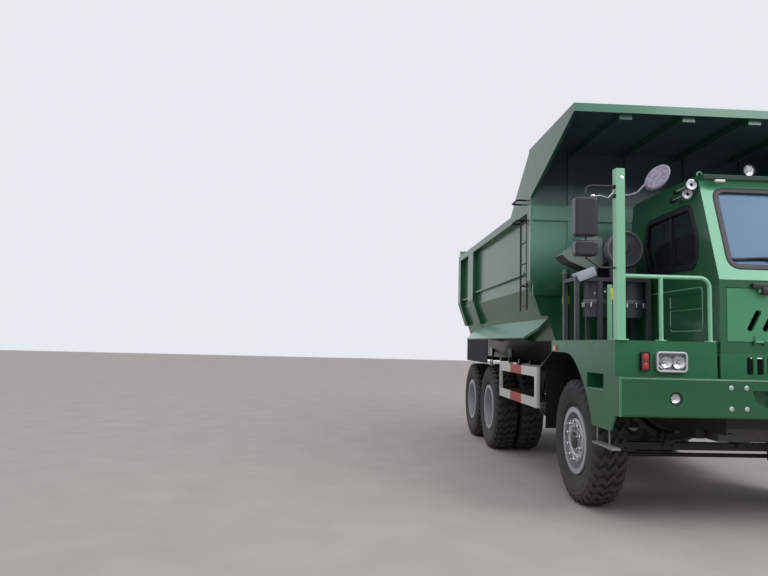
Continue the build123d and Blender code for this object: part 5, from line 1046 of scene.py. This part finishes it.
piece("can_collars", turned(COLLAR, 56, "z", CAN_SPOTS), "rim_grey")
clip = joined([soft_box((0, 0, 0), (0.006, 0.011, 0.030), 0.005),
               soft_box((0.006, 0, 0.024), (0.005, 0.008, 0.008), 0.004)])
around = [rotated(clip, a, "Z", (CLIP_RADIUS * math.cos(a), CLIP_RADIUS * math.sin(a), CLIP_Z))
          for a in np.radians(np.arange(0, 360, 40))]
piece("can_clips", copies(joined(around), CAN_SPOTS), "bright_metal")
piece("can_plugs", turned(PLUG, 10, "x", PLUG_SPOTS), "bright_metal")
box = joined([soft_box((0, 0, 0.006), (0.084, 0.112, 0.046), 0.007),
              soft_box((0, 0, -0.042), (0.078, 0.106, 0.014), 0.006),
              turned(SCREW, 12, "z", (0.05, 0.08, 0.052))])
piece("switch_box", rotated(box, BOX_TILT, "X", BOX_SPOT), "box_grey")

# %% [markdown]
# Steel straps hold the tanks against their brackets. The fuel tank has a filler cap, and the air tanks have
# domed ends, because a dome carries pressure better than a flat plate. Two long U-bolts on each side clamp
# the front springs down on the axle.

# %% Tank straps and spring bolts
TANK_LINE = [(0.0, 0.535, 0.60), (0.0, 1.500, 0.60), (0.0, 1.500, 0.98), (0.0, 0.535, 0.98)]
FILLER = [(0.0, 0.0), (0.0, 0.046), (0.030, 0.046), (0.032, 0.058), (0.056, 0.058), (0.062, 0.052),
          (0.062, 0.0)]
HOOP = [(-0.020, 0.138), (-0.020, 0.1435), (0.020, 0.1435), (0.020, 0.138)]
DISHED = [(0.0, 0.0), (0.0, 0.1385), (0.010, 0.134), (0.026, 0.110), (0.036, 0.060), (0.039, 0.0)]
AIR_TANK_Y, AIR_TANK_Z = (-0.76, -1.08), 0.840
AIR_TANK_ENDS = (("x", 1.250), ("-x", 0.350))
U_LINE = [(0, 0.370, 0.640), (0, 0.370, 0.800), (0, 0.490, 0.800), (0, 0.490, 0.640)]
strap = swept(bent(TANK_LINE, 0.12, closed=True), strip(0.007, -0.024, 0.024), (1, 0, 0), closed=True)
piece("fuel_straps", joined([copies(strap, [(0.480, 0, 0), (1.080, 0, 0)]),
                             turned(FILLER, 40, "z", (1.160, 1.300, 0.978))]), "rim_grey")
ends = [turned(DISHED, 56, axis, (x, y, AIR_TANK_Z)) for axis, x in AIR_TANK_ENDS for y in AIR_TANK_Y]
piece("air_tank_ends", joined(ends), "frame_paint")
hoop_spots = [(x, y, AIR_TANK_Z) for x in (0.475, 1.075) for y in AIR_TANK_Y]
piece("air_tank_hoops", turned(HOOP, 56, "x", hoop_spots), "rim_grey")
u_bolts = copies(pipe(U_LINE, 0.011, 0.018, (1, 0, 0)), [(2.555, 0, 0), (2.695, 0, 0)])
piece("spring_bolts", both(u_bolts), "frame_paint")

# %% [markdown]
# The seat's cushions are foam in sewn cloth. A foam pad under tight cloth is thickest in its middle, thins to
# a seam along its edge, and dips where a line of stitching pulls it in. So the height over the pad's plane is
# a crown times an edge curve, less a narrow dip at each stitched line, and a cord follows the edge. A rubber
# boot with six folds hides the spring below.

# %% Driver's seat
PAD_STEPS = 49
BOTTOM_SHARE = 0.75
CHANNEL_DEPTH, CHANNEL_WIDTH = 0.22, 0.045
SEAT_Y = 0.95
BACK_LEAN = -math.pi / 2 - 0.14


def pad(half, channels):
    """Closed pad: height = thick sqrt((1-u^6)(1-v^6)) (1.12 - 0.2 (u^2 + v^2)) less a dip at each channel."""
    line = np.sin(np.linspace(-1, 1, PAD_STEPS) * np.pi / 2)
    u, v = np.meshgrid(line, line)
    height = np.sqrt((1 - u ** 6) * (1 - v ** 6)) * (1.12 - 0.2 * (u ** 2 + v ** 2))
    for spot in channels:
        height = height * (1 - CHANNEL_DEPTH * np.exp(-((u - spot) / CHANNEL_WIDTH) ** 2))
    top = np.stack([half[0] * u, half[1] * v, half[2] * height], -1)
    bottom = np.stack([half[0] * u, half[1] * v, -BOTTOM_SHARE * half[2] * height], -1)[::-1]
    return grid(np.concatenate([top, bottom]), wrap_rows=True)


def cord(half):
    """Sewn cord along the pad's edge: a small pipe round a rectangle with tight corners."""
    x, y = half[0] - 0.004, half[1] - 0.004
    line = bent([(-x, -y, 0), (x, -y, 0), (x, y, 0), (-x, y, 0)], 0.035, closed=True)
    return swept(line, circle(0.006, 10), (0, 0, 1), closed=True)


PADS = [  # name, half sizes, channels, lean, middle
    ("seat_cushion", (0.255, 0.255, 0.075), (-0.36, 0.36), -0.05, (2.705, SEAT_Y, 2.130)),
    ("seat_back", (0.310, 0.240, 0.062), (-0.45, 0.0, 0.45), BACK_LEAN, (2.470, SEAT_Y, 2.470))]
for name, half, channels, lean, spot in PADS:
    sewn = joined([pad(half, channels), cord(half)])
    soft = piece(name, rotated(sewn, lean, "Y", spot), "seat_cloth", crease=70)
    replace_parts(soft, "driver_seat")
FOLD_HALVES = [(0.195, 0.175, 0.024), (0.183, 0.163, 0.024)]
folds = [soft_box((2.700, SEAT_Y, 1.775 + 0.045 * i), FOLD_HALVES[i % 2], 0.022) for i in range(6)]
tray = soft_box((2.700, SEAT_Y, 2.052), (0.225, 0.225, 0.022), 0.02)
shell = rotated(soft_box((0, 0, 0), (0.290, 0.215, 0.016), 0.014), BACK_LEAN, "Y", (2.408, SEAT_Y, 2.470))
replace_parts(piece("seat_frame", joined(folds + [tray, shell]), "moulded_black"), "driver_seat")

# %% [markdown]
# Each horn is a plated trumpet that flares to a rolled lip. Its bell narrows to a throat, whose dark hole is
# a black disc of painted shade, and a black sound chamber sits at its rear end.

# %% Horns
LIP = [(-0.004, 0.040), (-0.004, 0.053), (0.000, 0.056), (0.005, 0.055), (0.006, 0.050), (0.002, 0.044)]
BELL = [(-0.003, 0.0), (-0.003, 0.047), (0.004, 0.047), (0.0025, 0.030), (0.0012, 0.016), (0.001, 0.0)]
THROAT = [(-0.002, 0.0), (-0.002, 0.019), (0.003, 0.017), (0.003, 0.0)]
CHAMBER = [(-0.034, 0.0), (-0.034, 0.022), (-0.028, 0.030), (0.020, 0.030), (0.030, 0.022), (0.030, 0.0)]
MOUTHS = np.array([(3.605, -0.610, 3.393), (3.527, -0.610, 3.314)])
piece("horn_lips", turned(LIP, 40, "x", MOUTHS), "bright_metal")
piece("horn_bells", turned(BELL, 40, "x", MOUTHS), "rim_silver", crease=70)
# A black disc in each horn's mouth is painted shade for the dark hole of its throat.
piece("horn_throats", turned(THROAT, 32, "x", MOUTHS), "seal_rubber")
piece("horn_chambers", turned(CHAMBER, 24, "x", MOUTHS + (-0.305, 0.004, 0)), "seal_rubber")

# %% [markdown]
# Small things finish the cab, deck and body. A raised bead frames a panel on the cab's right side, with a
# cross bead in its middle, which stiffens the thin sheet; its pale green is a painted highlight. Two bent
# loops stand out from the body's right side above the ladder, as its upper steps. A pale marker hangs under
# the visor, a lifting eye stands on the roof's corner, and a pale plate in each foot recess is a painted sky
# reflection on its floor. Two blank yellow tags are tied to the second post and to the black pipe.

# %% Beads, loops, marker, eye and blank tags
EDGE_LINE = [(2.480, 2.350), (3.645, 2.350), (3.645, 1.915), (2.995, 1.915), (2.995, 2.290)]
LOOP_LINE = [(1.070, -1.692), (1.070, -1.812), (1.345, -1.812), (1.345, -1.692)]
LOOP_HEIGHTS = (3.685, 3.410)
EYE_LINE = [(-0.500, 3.480), (-0.535, 3.515), (-0.500, 3.550), (-0.465, 3.515)]
PIPE_TAG = [(-0.048, 0.0415), (-0.048, 0.0435), (0.048, 0.0435), (0.048, 0.0415)]
edge = bent([(x, CAB_SIDE, z) for x, z in EDGE_LINE], 0.055)
cross = [(x, CAB_SIDE, 2.136) for x in (2.995, 3.2, 3.4, 3.645)]
bead = strip(0.012, -0.004, 0.006, power=1.0, sides=8)
# The beads' pale green is a painted highlight along them.
piece("side_beads", joined([swept(line, bead, (0, -1, 0)) for line in (edge, cross)]), "post_green")
loops = [pipe([(x, y, z) for x, y in LOOP_LINE], 0.013, 0.035, sides=10) for z in LOOP_HEIGHTS]
piece("ladder_loops", joined(loops), "seal_rubber", "load_body")
piece("visor_marker", soft_box((3.688, -0.362, 3.422), (0.014, 0.056, 0.016), 0.012), "marker_pale")
eye_line = bent([(3.560, y, z) for y, z in EYE_LINE], 0.024, closed=True)
piece("roof_eye", swept(eye_line, circle(0.006, 10), (1, 0, 0), closed=True), "post_green")
# Painted sky reflection: a pale plate on the floor of each foot recess.
piece("recess_plates", both(soft_box((3.445, 1.478, 1.3135), (0.218, 0.070, 0.003), 0.0025)), "post_green")
piece("blank_tags", joined([soft_box((3.1215, -1.238, 2.298), (0.0015, 0.015, 0.062), 0.0014),
                            turned(PIPE_TAG, 32, "z", (2.165, -1.415, 2.290))]), "tag_yellow")
